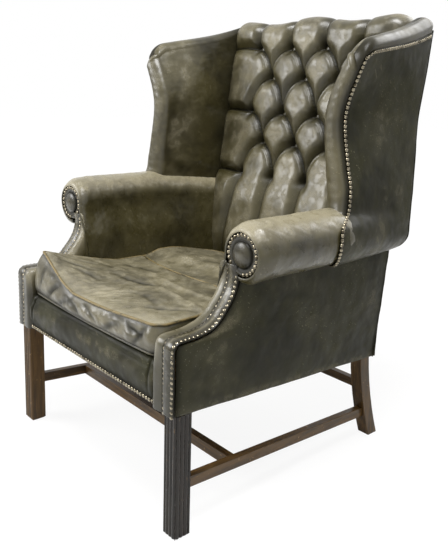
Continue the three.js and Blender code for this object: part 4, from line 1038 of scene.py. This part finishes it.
def strip_place(u, v, proud=1.5):
    """Nailed strip of the arm front: u along the line, v across from the inner edge outwards."""
    line = facing_line(proud, 200)
    y, z = along(line, u)
    ty, tz = along(tangents(line), u)
    crown = 4.5 * (1 - (2 * v - 1) ** 2) ** 0.8
    x = side_x(y, mix(STRIP_WIDTH + 1, -1, v))
    return x, y - tz * crown, z + ty * crown


def strip_leather(u, v):
    points = to_scene(*strip_place(u, v))
    points[:, 1] -= wander(points, 24, 8.0, 3) * 0.5 / 1000
    # Painted shade: darker along both nailed edges and over the lower post
    painted_shade = np.maximum(0.9 * bell(np.minimum(v, 1 - v), 0.08), 0.3 * (1 - ease(u, 0.28, 0.42)))
    return points, painted_shade, 0.5 * bell(v - 0.5, 0.12) * ease(u, 0.25, 0.45)


def turned(name, profile, centre, steps=72):
    """Round piece turned about a line along y, from a profile of radius and depth in mm."""
    bm = bmesh.new()
    made = [bm.verts.new(Vector((r, d, 0)) / 1000) for r, d in profile]
    edges = [bm.edges.new(pair) for pair in zip(made, made[1:])]
    bmesh.ops.spin(bm, geom=made + edges, cent=(0, 0, 0), axis=(0, 1, 0), dvec=(0, 0, 0),
                   angle=2 * math.pi, steps=steps, use_merge=True)
    bmesh.ops.remove_doubles(bm, verts=bm.verts, dist=1e-6)
    bmesh.ops.recalc_face_normals(bm, faces=bm.faces)
    bmesh.ops.translate(bm, verts=bm.verts, vec=Vector(to_scene(*centre)))
    return new_object(name, bm)


def scroll_disc(name, side):
    """Leather-covered disc of the scroll with a groove for the nails and a padded dome."""
    profile = [(0, 9), (DISC_RADIUS - 3, 9), (DISC_RADIUS, 6), (DISC_RADIUS + 0.5, 2),
               (DISC_RADIUS - 2, -1.5), (DISC_RADIUS - 6, -2.5),
               (DOME_RADIUS + 7, -2), (DOME_RADIUS + 2, -0.5), (DOME_RADIUS, 0)]
    steps = 10
    for k in range(steps + 1):
        angle = mix(0.12, math.pi / 2, k / steps)
        profile.append((DOME_RADIUS * math.cos(angle), -DOME_HEIGHT * math.sin(angle)))
    profile[-1] = (0, -DOME_HEIGHT)
    obj = turned(name, profile, (side * DISC_X, DISC_Y, DISC_Z))
    mesh = obj.data
    painted_shade = mesh.attributes.new("painted_shade", "FLOAT", "POINT")
    wear_and_highlight = mesh.attributes.new("wear_and_highlight", "FLOAT", "POINT")
    for k, vert in enumerate(mesh.vertices):
        away = math.hypot(vert.co.x * 1000 - side * DISC_X, vert.co.z * 1000 - DISC_Z)
        # Painted shade: darker in the groove round the dome
        painted_shade.data[k].value = 0.9 * float(bell(away - DOME_RADIUS, 3.5))
        wear_and_highlight.data[k].value = 0.3 * float(bell(away, 14))
    return obj


def seam_z(y):
    """Seam of the outside arm under the roll."""
    return mix(SEAM_FRONT_Z, SEAM_REAR_Z, ease(y, ROLL_BEND_Y, ROLL_REAR_Y))


def outside_arm_line():
    """Front edge of the outside arm, from the hem to the seam."""
    line = facing_line(-1.5, 160)
    return line[line[:, 1] < seam_z(0) + 14]


OUTSIDE_ARM_LINE = outside_arm_line()


def outside_arm_place(u, v):
    """Outside panel of the arm: u runs back from the strip, v up from the hem to the seam."""
    y0, z0 = along(OUTSIDE_ARM_LINE, v)
    end_z = mix(hem(BACK_FOOT_Y), seam_z(ROLL_REAR_Y), v)
    y, z = mix(y0, back_face(end_z) - 2.0, u), mix(z0, end_z, u)
    z = np.where(v > 0.999, np.minimum(z, seam_z(y)), z)
    inside_u, inside_v = clamp(u, 0.01, 0.99), clamp(v, 0.01, 0.99)
    swell = 1.0 + 7 * (np.sin(math.pi * inside_u) * np.sin(math.pi * inside_v)) ** 0.55
    return side_x(y, 0) + swell, y, z


def outside_arm_leather(u, v):
    points = to_scene(*outside_arm_place(u, v))
    points[:, 0] += rumple(points, (170, 19.0, 3, 2.2), (38, 14.0, 3, 0.7)) / 1000
    knee = bell(u - 0.03, 0.07) * bell(v - 0.62, 0.16)
    wear_and_highlight = np.maximum(knee, 0.6 * clamp(wander(points, 120, 3.0, 4)))
    # Painted shade: darker along the front and rear edges
    return points, 0.75 * bell(np.minimum(u, 1 - u), 0.018), np.maximum(0.7 * bell(v, 0.05), wear_and_highlight)


# Front lip and cushion

def lip_profile(count):
    """Section of the padded front rail, from the hem over the roll to the deck, as y and z."""
    under = SEAT_HEIGHT + 3.4
    face = -LIP_PROUD
    low = quad_curve((STRIP_FRONT_Y + 3, HEM_HEIGHT), (face - 16, HEM_HEIGHT + 0.62 * (under - HEM_HEIGHT)),
                     (face + 2, under), 20)
    high = quad_curve((face + 2, under), (face + 4, LIP_HEIGHT), (LIP_REAR_Y / 3, LIP_HEIGHT), 20)
    rear = np.array([(LIP_REAR_Y / 3, LIP_HEIGHT), (LIP_REAR_Y, LIP_HEIGHT - 5)])
    return even(np.vstack([low, high[1:], rear[1:]]), count)


LIP_PROFILE = lip_profile(80)


def lip_leather(u, v):
    """Front roll: u runs across between the arms, v from the hem up over the roll."""
    side = 2 * u - 1
    end = 1 - np.abs(side)
    half = side_x(LIP_REAR_Y, WALL_INSET) + 12
    points = to_scene(side * half, *along(LIP_PROFILE, v))
    pillow = quarter(end / 0.05)
    pleat = bell(end - 0.075 - 0.05 * v**2, 0.012) * ease(v, 0.1, 0.5)
    points[:, 1] += (12 * (1 - pillow) + 3.5 * pleat - wander(points, 80, 3.3, 3) * 1.6) / 1000
    points[:, 2] -= 10 * (1 - pillow) * ease(v, 0.4, 0.8) / 1000
    # Painted shade: darker at the hem, over the top under the cushion, at the ends and in the pleats. The
    # rub band across the middle is a painted highlight
    shade = np.maximum(0.9 * bell(v, 0.2), 0.8 * ease(v, 0.6, 0.8))
    painted_shade = np.maximum(np.maximum(bell(end, 0.012), 0.7 * pleat), shade)
    return points, painted_shade, 0.8 * bell(v - 0.45, 0.1) * clamp(0.5 + wander(points, 60, 1.5, 3))


def cushion_top(x, y):
    """Top of the cushion: the left front corner stands up, the back is fuller and then slopes."""
    side = side_x(y, CUSHION_INSET)
    ear = CUSHION_EAR * clamp((-64 - x) / 195) ** 1.1 * clamp(1 - (y - CUSHION_FRONT_Y) / 250) ** 1.15
    near = 14 * bell(x - side, 150)
    ridge = 13 * ease(y, 350, 410)
    slope = 26 * ease(y, 430, CUSHION_REAR_Y)
    stretch = 4 * bell(y - 236 + 0.15 * x, 8) + 3 * bell(y - 196 + 0.22 * x, 7)
    return CUSHION_TOP + ear + near + ridge - slope + stretch * ease(x, -110, 90)


def seat_top(y):
    return SEAT_HEIGHT - SEAT_FALL * y


def cushion_under(y):
    """Height of the underside of the cushion, on the deck and over the front roll."""
    on_deck = seat_top(y) + DECK_TOP + 1
    off_lip = ease(y, LIP_REAR_Y, 3 * LIP_REAR_Y)
    return np.maximum(on_deck, mix(LIP_HEIGHT + 0.5, on_deck, off_lip))


def cushion_plan(count):
    """Edge of the cushion seen from above: tight corners in front, rounder ones behind."""
    points = []
    left_radius, right_radius = CUSHION_FRONT_RADII
    for side, y, inwards, radius, start in ((1, CUSHION_REAR_Y, -1, CUSHION_REAR_RADIUS, 0),
                                            (-1, CUSHION_REAR_Y, -1, CUSHION_REAR_RADIUS, 90),
                                            (-1, CUSHION_FRONT_Y, 1, left_radius, 180),
                                            (1, CUSHION_FRONT_Y, 1, right_radius, 270)):
        for turn in np.radians(np.linspace(start, start + 90, 9)):
            points.append((side * (side_x(y, CUSHION_INSET) - radius) + radius * math.cos(turn),
                           y + inwards * radius + radius * math.sin(turn)))
    line = even(points + points[:1], count)
    x, y = line.T
    bow = CUSHION_BOW * (1 - (x / 280) ** 2) * (1 - ease(y, CUSHION_FRONT_Y, CUSHION_FRONT_Y + 60))
    return np.stack([x, y - bow], axis=1)


CUSHION_PLAN = cushion_plan(801)


def cushion_surface(u, v, part):
    """Points of the cushion: u runs round its edge, v up the boxing or out from the middle."""
    x, y = along(CUSHION_PLAN, u)
    middle_y = (CUSHION_FRONT_Y + CUSHION_REAR_Y) / 2
    ear = clamp((-120 - x) / 130) * clamp((150 - y) / 130)
    if part == "boxing":
        z = mix(cushion_under(y) + 4, cushion_top(x, y) - 8, v)
        in_front = 1 - ease(y, CUSHION_FRONT_Y, 120)
        out = (6 + 8 * in_front) * np.sin(math.pi * v**0.8) ** 0.8 - 15 * ear * v**2
        length = np.hypot(x, y - middle_y)
        return x + out * x / length, y + out * (y - middle_y) / length, z
    lean = 1 - 0.045 * ear * v if part == "top" else 1.0
    px, py = x * v * lean, middle_y + (y - middle_y) * v * lean
    if part == "top":
        crown = 8 * np.sqrt(np.maximum(0, 1 - v**10)) - 8
        return px, py, cushion_top(px / lean, middle_y + (py - middle_y) / lean) + crown
    return px, py, cushion_under(py) + 4 * v**8


# Folds of the cushion as x, y, x, y, width and depth in mm: on the top, and on the front boxing,
# where y is the height above the lower seam. A ridge has a negative depth.
EAR_FOLDS = ((-236, 60, -190, 150, 6, 4), (-215, 40, -150, 120, 6, 5), (-180, 55, -100, 95, 7, 4),
             (-236, 130, -170, 175, 7, 3))
FRONT_PUCKERS = ((-70, 28, -50, 75, 5, -4), (-48, 30, -22, 88, 5, -5), (-20, 34, 2, 84, 5, -4),
                 (8, 36, 26, 72, 5, -3))
SEAT_FOLDS = ((-120, 150, 30, 185, 9, 4), (40, 120, 190, 80, 9, 3), (60, 170, 250, 132, 9, -3),
              (-200, 230, -90, 262, 10, 4), (120, 330, 240, 300, 8, 4), (-60, 420, 120, 455, 12, 4),
              (150, 60, 262, 120, 8, 4))
BOXING_FOLDS = ((-238, 26, -212, 96, 7, 6), (-206, 12, -128, 62, 8, 9), (-150, 8, -84, 30, 7, 6),
                (-92, 44, -10, 12, 9, 5), (-10, 46, 60, 26, 7, 5), (70, 8, 150, 40, 8, 6),
                (176, 56, 236, 34, 7, 7), (206, 10, 246, 60, 6, 6), (-190, 70, -150, 84, 6, 4),
                (110, 50, 160, 58, 6, 4))


def folds(x, y, lines):
    """Depth of a set of creases at x and y, in mm."""
    depth = np.zeros_like(x)
    for ax, ay, bx, by, width, deep in lines:
        share = ((x - ax) * (bx - ax) + (y - ay) * (by - ay)) / ((bx - ax) ** 2 + (by - ay) ** 2)
        bend = width * np.sin(share * 5 + ax)
        share = clamp(share)
        away = np.hypot(x - mix(ax, bx, share), y - mix(ay, by, share) + bend * 0.5)
        depth += deep * bell(away, width) * np.sin(math.pi * clamp(0.15 + 0.7 * share))
    return depth


def crease_shade_and_clouds(points, creased):
    """Painted shade in the creases, and a few random darker clouds on the cushion."""
    return np.maximum(0.09 * clamp(creased, 0, 9), 0.5 * clamp(wander(points, 85, 23.0, 4)))


def boxing_leather(u, v):
    x, y, z = cushion_surface(u, v, "boxing")
    points = to_scene(x, y, z)
    around = np.stack([2.25 * u + 0.02 * v, 0.035 * v, 0 * u], axis=1)
    creased = folds(x, z - cushion_under(y), BOXING_FOLDS) * (1 - ease(y, 40, 60))
    soft = wander(around, 30, 17.0, 3) * 2.6 + wander(points, 70, 3.0, 3) * 3.0 - creased
    length = np.hypot(points[:, 0], points[:, 1])[:, None]
    points[:, :2] += (soft * np.sin(math.pi * v) / 1000)[:, None] * points[:, :2] / length
    # Painted shade: darker at the low seam over the front roll, at the top seam and in the creases
    seam_shade = np.maximum(bell(v, 0.2), 0.8 * bell(1 - v, 0.06))
    painted_shade = np.maximum(seam_shade, crease_shade_and_clouds(points, creased))
    return points, painted_shade, clamp(0.35 * np.sin(math.pi * v) - 0.08 * creased)


def cushion_top_leather(u, v):
    x, y, z = cushion_surface(u, v, "top")
    points = to_scene(x, y, z)
    soft = rumple(points, (110, 40.0, 3, 3.4), (30, 33.0, 4, 1.1))
    puckers = np.sin((x - 0.6 * y) * 2 * math.pi / 20 + 3 * wander(points, 50, 11.0, 2))
    soft += 1.2 * puckers * (1 - ease(y, 45, 120)) * bell(x + 10, 130) * ease(y, 0, 30)
    creased = folds(x, y, EAR_FOLDS + FRONT_PUCKERS + SEAT_FOLDS)
    points[:, 2] += (soft - creased) * (1 - v**12) / 1000
    # Painted shade: darker at the piped edge and in the creases
    painted_shade = np.maximum(0.5 * bell(1 - v, 0.01), crease_shade_and_clouds(points, creased))
    return points, painted_shade, clamp(0.52 + 0.25 * wander(points, 60, 2.0, 3) + 0.3 * v**6 - 0.1 * creased)


def underside_leather(u, v):
    # Painted shade over the whole underside
    return to_scene(*cushion_surface(u, v, "underside")), np.ones_like(v), np.zeros_like(v)


def build_cushion(name):
    """The three parts of the cushion, joined at their edges into one closed body."""
    bm = bmesh.new()
    for rows, place in ((26, boxing_leather), (120, cushion_top_leather), (20, underside_leather)):
        add_sheet(bm, 440, rows, place)
    bmesh.ops.remove_doubles(bm, verts=bm.verts, dist=0.0004)
    bmesh.ops.holes_fill(bm, edges=[edge for edge in bm.edges if edge.is_boundary], sides=0)
    bmesh.ops.recalc_face_normals(bm, faces=bm.faces)
    return new_object(name, bm)


# Outside back

def back_edge(count):
    """Right edge of the outside back from the hem to the crest, as x and z."""
    rear = spline(WING_GUIDES[1], np.linspace(0, 1, 60))
    rear = rear[rear[:, 2] < CREST_HEIGHT - CREST_DROP - 4]
    line = [(float(side_x(BACK_FOOT_Y, 0)), float(hem(BACK_FOOT_Y)))]
    line += [(x + 0.5, z) for x, z in zip(rear[:, 0], rear[:, 2]) if z > line[-1][1]]
    line = [(x + 2.5 * (1 - ease(z, 385, 400)), z) for x, z in line]
    return even(line, count)


BACK_EDGE = back_edge(140)


def outside_back_place(u, v):
    """Outside back: u runs across, v up from the hem to the crest."""
    half, z = along(BACK_EDGE, v)
    side = 2 * u - 1
    x = side * half
    z = z + (crest_z(x) - CREST_DROP - z) * ease(v, 0.9, 1)
    swell = 3.5 * (np.cos(side * math.pi / 2 * 0.98) * np.sin(math.pi * clamp(v, 0.01, 0.99))) ** 0.5
    return x, back_face(z) - 1.0 + swell, z


def outside_back_leather(u, v):
    points = to_scene(*outside_back_place(u, v))
    points[:, 1] += rumple(points, (190, 55.0, 3, 1.8), (45, 4.0, 3, 0.6)) / 1000
    wear_and_highlight = np.maximum(0.5 * bell(v, 0.04), 0.3 * clamp(wander(points, 140, 8.0, 4)))
    # Painted shade: darker round the rims
    return points, 0.5 * bell(rim_distance(u, v), 0.01), wear_and_highlight


# Nails, buttons and piping

def nail_row(points, outs, pitch):
    """Evenly spaced places and directions along a line in metres; outs may be one direction."""
    count = max(2, int(round(travelled(points)[-1] / pitch)) + 1)
    return [(row[:3], row[3:]) for row in even(points, count, np.broadcast_to(outs, points.shape))]


def nail_heads(name, rows):
    """One mesh of domed nail heads, each at a place and facing a direction."""
    radius = sizes().nail_radius
    head = bmesh.new()
    bmesh.ops.create_uvsphere(head, u_segments=10, v_segments=8, radius=radius)
    low = [vert for vert in head.verts if vert.co.z < -1e-6]
    bmesh.ops.delete(head, geom=low, context="VERTS")
    bmesh.ops.holes_fill(head, edges=[edge for edge in head.edges if edge.is_boundary], sides=0)
    bmesh.ops.scale(head, vec=(1, 1, 0.62), verts=head.verts)
    bmesh.ops.recalc_face_normals(head, faces=head.faces)
    template = bpy.data.meshes.new("nail_head")
    head.to_mesh(template)
    head.free()
    bm = bmesh.new()
    for place, out in rows:
        start = len(bm.verts)
        bm.from_mesh(template)
        bm.verts.ensure_lookup_table()
        turn = Vector(out).normalized().to_track_quat("Z", "Y").to_matrix().to_4x4()
        bmesh.ops.transform(bm, matrix=Matrix.Translation(Vector(place)) @ turn, verts=bm.verts[start:])
    bpy.data.meshes.remove(template)
    return new_object(name, bm)


def mirrored_rows(rows, side):
    """Nails of the right side, carried to the left one where the side is -1."""
    flip = np.array([side, 1, 1])
    return [(place * flip, out * flip) for place, out in rows]


def facing_nails(pitch):
    """Rows of one arm front: inner edge, round the scroll and back down the outer edge."""
    t = np.linspace(0, 1, 160)
    rows = []
    for v, last in ((0.13, 0.965), (0.87, 0.93)):
        ty, tz = along(tangents(facing_line(0, 200)), t * last)
        outs = np.stack([np.full_like(ty, 0.35 * (2 * v - 1)), -tz, ty], axis=1)
        rows += nail_row(to_scene(*strip_place(t * last, np.full_like(t, v), 2.4)), outs, pitch)
    turn = np.radians(np.linspace(212, -82, 120))
    ring = to_scene(DISC_X + NAIL_RING * np.cos(turn), DISC_Y - 2.0, DISC_Z + NAIL_RING * np.sin(turn))
    return rows + nail_row(ring, (0, -1, 0), pitch)


def wing_nails(pitch):
    """Rows of one wing: over the roll, up the front edge and back along the top."""
    v = np.linspace(0, 1, 200)
    front, normal = outside_wing_place(np.full_like(v, 0.012), v, 2.2)
    rows = nail_row(to_scene(*front.T), normal * np.sign(normal[100, 0]) + (0, -0.5, 0), pitch)
    u = np.linspace(0.012, 0.97, 200)
    top, normal = outside_wing_place(u, np.full_like(u, 0.992), 2.2)
    return rows + nail_row(to_scene(*top.T), normal * np.sign(normal[50, 0]), pitch)[1:]


def lip_nails(pitch):
    """Row along the bottom of the front roll."""
    half = side_x(LIP_REAR_Y, WALL_INSET) + 34
    y, z = LIP_PROFILE[3]
    return nail_row(to_scene(np.linspace(-half, half, 60), y - 3, z + 3), (0, -1, 0), pitch)


def back_nails(pitch):
    """Rows up both sides of the outside back and along its top."""
    inset, proud = NAIL_INSET, 0.5
    x, z = back_edge(200).T
    right = nail_row(to_scene(x - inset, back_face(z) + proud, z), (0, 1, 0), pitch)
    x = np.linspace(inset - x[-1], x[-1] - inset, 80)[1:-1]
    z = crest_z(x) - CREST_DROP - inset
    top = nail_row(to_scene(x, back_face(z) + proud, z), (0, 1, 0), pitch)
    return right + mirrored_rows(right, -1) + top


def buttons_mesh(name):
    """Covered buttons, sunk into the pits of the back."""
    radius = sizes().button_radius
    bm = bmesh.new()
    for row, z in enumerate(BUTTON_ROWS):
        for x in row_buttons(row):
            made = bmesh.ops.create_uvsphere(bm, u_segments=16, v_segments=10, radius=radius)["verts"]
            bmesh.ops.scale(bm, vec=(1, 0.42, 1), verts=made)
            bmesh.ops.translate(bm, vec=Vector(to_scene(x, pit_y(z) + 5.5, z)), verts=made)
    return new_object(name, bm)


def cushion_piping_lines():
    """Top and bottom piping of the cushion and the seam across its top, in metres."""
    u = np.linspace(0, 1, 241)[:-1]
    x, y, z = cushion_surface(u, np.full_like(u, 0.995), "boxing")
    top = to_scene(x, y, z + 1.5)
    low = to_scene(*cushion_surface(u, np.full_like(u, 0.02), "boxing"))
    x = np.linspace(-1, 1, 80)
    y = 300 - 40 * x + 14 * np.sin(3 * x)
    half = side_x(y, CUSHION_INSET) - 6
    seam = to_scene(x * half, y, cushion_top(x * half, y) + 0.5 - 5 * np.abs(x) ** 8)
    return top, low, seam


# Wood: each visible frame piece is a copy with merged corners and softened edges

def eased(node, radius):
    """Merged copy of a frame piece with rounded edges."""
    bm = bmesh.new()
    bm.from_mesh(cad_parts[node].data)
    bmesh.ops.remove_doubles(bm, verts=bm.verts, dist=1e-5)
    bmesh.ops.dissolve_limit(bm, angle_limit=0.02, verts=bm.verts, edges=bm.edges)
    sharp = [edge for edge in bm.edges if len(edge.link_faces) == 2 and edge.calc_face_angle() > 0.6]
    bmesh.ops.bevel(bm, geom=sharp, offset=radius / 1000, offset_type="OFFSET", affect="EDGES",
                    segments=2, profile=0.5, material=-1, clamp_overlap=True)
    return new_object("eased_" + node, bm, smooth=False)


# Operators

class BuildLegs(bpy.types.Operator):
    """Legs and stretchers with rubbed edges."""
    bl_idname = "chair.build_legs"
    bl_label = "Legs and stretchers"

    def execute(self, context):
        finishes = {"front_leg_right": "shellac_mahogany", "front_leg_left": "rubbed_mahogany",
                    "rear_leg_right": "rubbed_mahogany", "rear_leg_left": "rubbed_mahogany",
                    "side_stretcher_right": "stretcher_mahogany_y",
                    "side_stretcher_left": "stretcher_mahogany_y",
                    "medial_stretcher": "stretcher_mahogany_x",
                    "rear_stretcher": "stretcher_mahogany_x"}
        for node, finish in finishes.items():
            slot = "polished_mahogany" if node.startswith("front_leg") else "faded_mahogany"
            settle(eased(node, WOOD_EASE), material_of(finish), slot, node)
        return {"FINISHED"}


class FinishFrame(bpy.types.Operator):
    """Plain timber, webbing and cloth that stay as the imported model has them."""
    bl_idname = "chair.finish_frame"
    bl_label = "Frame and seat platform"

    def execute(self, context):
        finishes = {"crest_rail": "dark_hide", "seat_web": "jute_webbing",
                    "seat_deck": "black_cotton", "dust_cover": "black_cotton"}
        for name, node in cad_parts.items():
            found = [finish for start, finish in finishes.items() if name.startswith(start)]
            for slot in node.material_slots:
                slot.material = material_of(found[0] if found else "bare_beech")
        return {"FINISHED"}


class BuildBack(bpy.types.Operator):
    """Deep-buttoned inside back and its covered buttons."""
    bl_idname = "chair.build_back"
    bl_label = "Buttoned back"

    def execute(self, context):
        back = leather("buttoned_back", [(248, 372, back_leather)])
        settle(back, material_of("aged_hide"), "aged_leather", "inner_back")
        settle(buttons_mesh("back_buttons"), material_of("aged_hide"), "aged_leather")
        return {"FINISHED"}


class BuildWings(bpy.types.Operator):
    """Padded inside wings and the dark panels outside them."""
    bl_idname = "chair.build_wings"
    bl_label = "Wings"

    def execute(self, context):
        for name, side in SIDES:
            inside = leather(f"wing_padding_{name}", [(150, 190, wing_leather)], side)
            settle(inside, material_of("aged_hide"), "aged_leather", f"inside_wing_{name}")
            outside = leather(f"wing_panel_{name}", [(80, 130, outside_wing_leather)], side)
            settle(outside, material_of("dark_hide"), "dark_leather", f"outside_wing_{name}")
        return {"FINISHED"}


class BuildArms(bpy.types.Operator):
    """Padded arms, their outside panels, the nailed strips and the scroll discs."""
    bl_idname = "chair.build_arms"
    bl_label = "Arms"

    def execute(self, context):
        for name, side in SIDES:
            sheets = [(170, 60, front_wall_leather), (190, 170, roll_leather)]
            arm = leather(f"arm_padding_{name}", sheets, side)
            settle(arm, material_of("rubbed_hide"), "rubbed_leather", f"inside_arm_{name}")
            panel = leather(f"arm_panel_{name}", [(150, 90, outside_arm_leather)], side)
            settle(panel, material_of("dark_hide"), "dark_leather", f"outside_arm_{name}")
            strip = leather(f"arm_strip_{name}", [(220, 20, strip_leather)], side)
            settle(strip, material_of("waxed_hide"), "aged_leather", f"arm_facing_{name}")
            disc = scroll_disc(f"scroll_disc_{name}", side)
            settle(disc, material_of("waxed_hide"), "aged_leather")
        return {"FINISHED"}


class BuildSeat(bpy.types.Operator):
    """Padded front rail and the loose cushion with its piping."""
    bl_idname = "chair.build_seat"
    bl_label = "Seat"

    def execute(self, context):
        lip = leather("front_roll", [(240, 60, lip_leather)])
        settle(lip, material_of("dark_hide"), "aged_leather", "front_lip")
        cushion = build_cushion("loose_cushion")
        settle(cushion, material_of("rubbed_hide"), "rubbed_leather", "seat_cushion")
        top, low, seam = cushion_piping_lines()
        radius = sizes().piping_radius * 1000
        cords = (("top", top, 0.85, "tan_piping"), ("low", low, 0.8, "aged_hide"),
                 ("cross", seam, 0.5, "tan_piping"))
        for name, line, share, finish in cords:
            cord = tube(f"cushion_piping_{name}", line, radius * share, name != "cross")
            settle(cord, material_of(finish), "rubbed_leather")
        return {"FINISHED"}


class BuildOutsideBack(bpy.types.Operator):
    """Plain panel of the outside back."""
    bl_idname = "chair.build_outside_back"
    bl_label = "Outside back"

    def execute(self, context):
        panel = leather("back_panel", [(130, 170, outside_back_leather)])
        settle(panel, material_of("dark_hide"), "dark_leather", "outside_back")
        return {"FINISHED"}


class BuildNails(bpy.types.Operator):
    """Close rows of domed nails along every edge of the outside leather."""
    bl_idname = "chair.build_nails"
    bl_label = "Nails"

    def execute(self, context):
        pitch = sizes().nail_pitch
        metal = material_of("antique_nails")
        for name, side in SIDES:
            facing = mirrored_rows(facing_nails(pitch), side)
            settle(nail_heads(f"arm_nails_{name}", facing), metal, "aged_leather")
            wing = mirrored_rows(wing_nails(pitch), side)
            settle(nail_heads(f"wing_nails_{name}", wing), metal, "aged_leather")
        settle(nail_heads("front_nails", lip_nails(pitch)), metal, "aged_leather")
        settle(nail_heads("back_nails", back_nails(pitch)), metal, "aged_leather")
        return {"FINISHED"}


# Place in metres and turn in degrees of the camera: yaw to the left, pitch down and roll
CAMERA_PLACE = (1.389, -1.1981, 0.974)
CAMERA_ANGLES = (48.32, 10.89, 1.69)
# Soft lamps as name, place and size in metres, and power in watts
LAMPS = (("key", (-1.9, -2.5, 2.1), 2.0, 105), ("top", (0.8, -0.8, 3.4), 1.5, 120),
         ("fill", (3.0, -1.6, 1.3), 2.2, 8), ("rear", (0.4, 3.0, 2.6), 2.4, 50))
LAMP_AIM = Vector((0, 0, 0.6))
FLOOR_RADIUS = 14


class BuildStage(bpy.types.Operator):
    """Camera, soft lights, pale floor and white surroundings."""
    bl_idname = "chair.build_stage"
    bl_label = "Stage"

    def execute(self, context):
        scene = context.scene
        scene.camera = self.camera()
        for lamp in LAMPS:
            self.lamp(*lamp)
        scene.world = self.studio()
        bm = bmesh.new()
        bmesh.ops.create_circle(bm, cap_ends=True, segments=96, radius=FLOOR_RADIUS)
        floor = new_object("floor", bm, smooth=False)
        floor.data.materials.append(material_of("pale_floor"))
        scene.view_settings.view_transform = "Standard"
        return {"FINISHED"}

    @staticmethod
    def camera():
        data = bpy.data.cameras.new("camera")
        data.lens = 44.9
        data.shift_x = -0.0069
        data.shift_y = -0.117
        data.clip_end = 60
        camera = link("camera", data)
        yaw, pitch, roll = (math.radians(angle) for angle in CAMERA_ANGLES)
        ahead = Vector((-math.sin(yaw) * math.cos(pitch), math.cos(yaw) * math.cos(pitch), -math.sin(pitch)))
        right = ahead.cross(Vector((0, 0, 1))).normalized()
        up = right.cross(ahead)
        level = math.cos(roll) * right + math.sin(roll) * up
        upward = math.cos(roll) * up - math.sin(roll) * right
        turn = Matrix((level, upward, -ahead)).transposed().to_4x4()
        camera.matrix_world = Matrix.Translation(CAMERA_PLACE) @ turn
        return camera

    @staticmethod
    def lamp(name, place, size, power):
        data = bpy.data.lights.new(name, "AREA")
        data.shape = "DISK"
        data.size = size
        data.energy = power
        lamp = link(name, data)
        lamp.location = place
        lamp.rotation_euler = (LAMP_AIM - Vector(place)).to_track_quat("-Z", "Y").to_euler()

    @staticmethod
    def studio():
        """White to the camera and in reflections, and a dimmer plain light on the chair."""
        world = bpy.data.worlds.new("studio")
        world.use_nodes = True
        tree = world.node_tree
        tree.nodes.clear()
        rays = add(tree, "ShaderNodeLightPath").outputs
        seen = maths(tree, "MAXIMUM", rays["Is Camera Ray"], rays["Is Glossy Ray"])
        seen = maths(tree, "MAXIMUM", seen, rays["Is Transmission Ray"])
        strength = add(tree, "ShaderNodeMapRange", None, {
            "Value": seen, "To Min": 0.32, "To Max": 1.0}).outputs[0]
        sky = add(tree, "ShaderNodeBackground", None, {"Color": (1, 1, 1, 1), "Strength": strength})
        add(tree, "ShaderNodeOutputWorld", None, {"Surface": sky.outputs[0]})
        return world


BUILD_STEPS = (BuildStage, FinishFrame, BuildLegs, BuildOutsideBack, BuildBack, BuildWings, BuildArms,
               BuildSeat, BuildNails)


class ChairPanel(bpy.types.Panel):
    """Sizes, colours and build steps of the chair."""
    bl_idname = "VIEW3D_PT_wing_chair"
    bl_label = "Wing chair"
    bl_space_type = "VIEW_3D"
    bl_region_type = "UI"
    bl_category = "Wing chair"

    def draw(self, context):
        for group in (context.scene.chair_sizes, context.scene.chair_colours):
            box = self.layout.box()
            for prop in group.bl_rna.properties:
                if prop.identifier not in ("rna_type", "name"):
                    box.prop(group, prop.identifier)
        for step in BUILD_STEPS:
            self.layout.operator(step.bl_idname)


CLASSES = (ChairSizes, ChairColours, *BUILD_STEPS, ChairPanel)


def register():
    for cls in CLASSES:
        bpy.utils.register_class(cls)
    bpy.types.Scene.chair_sizes = bpy.props.PointerProperty(type=ChairSizes)
    bpy.types.Scene.chair_colours = bpy.props.PointerProperty(type=ChairColours)


def unregister():
    del bpy.types.Scene.chair_colours
    del bpy.types.Scene.chair_sizes
    for cls in reversed(CLASSES):
        bpy.utils.unregister_class(cls)


def main():
    register()
    for step in BUILD_STEPS:
        area, action = step.bl_idname.split(".")
        getattr(getattr(bpy.ops, area), action)()


if __name__ == "__main__":
    main()
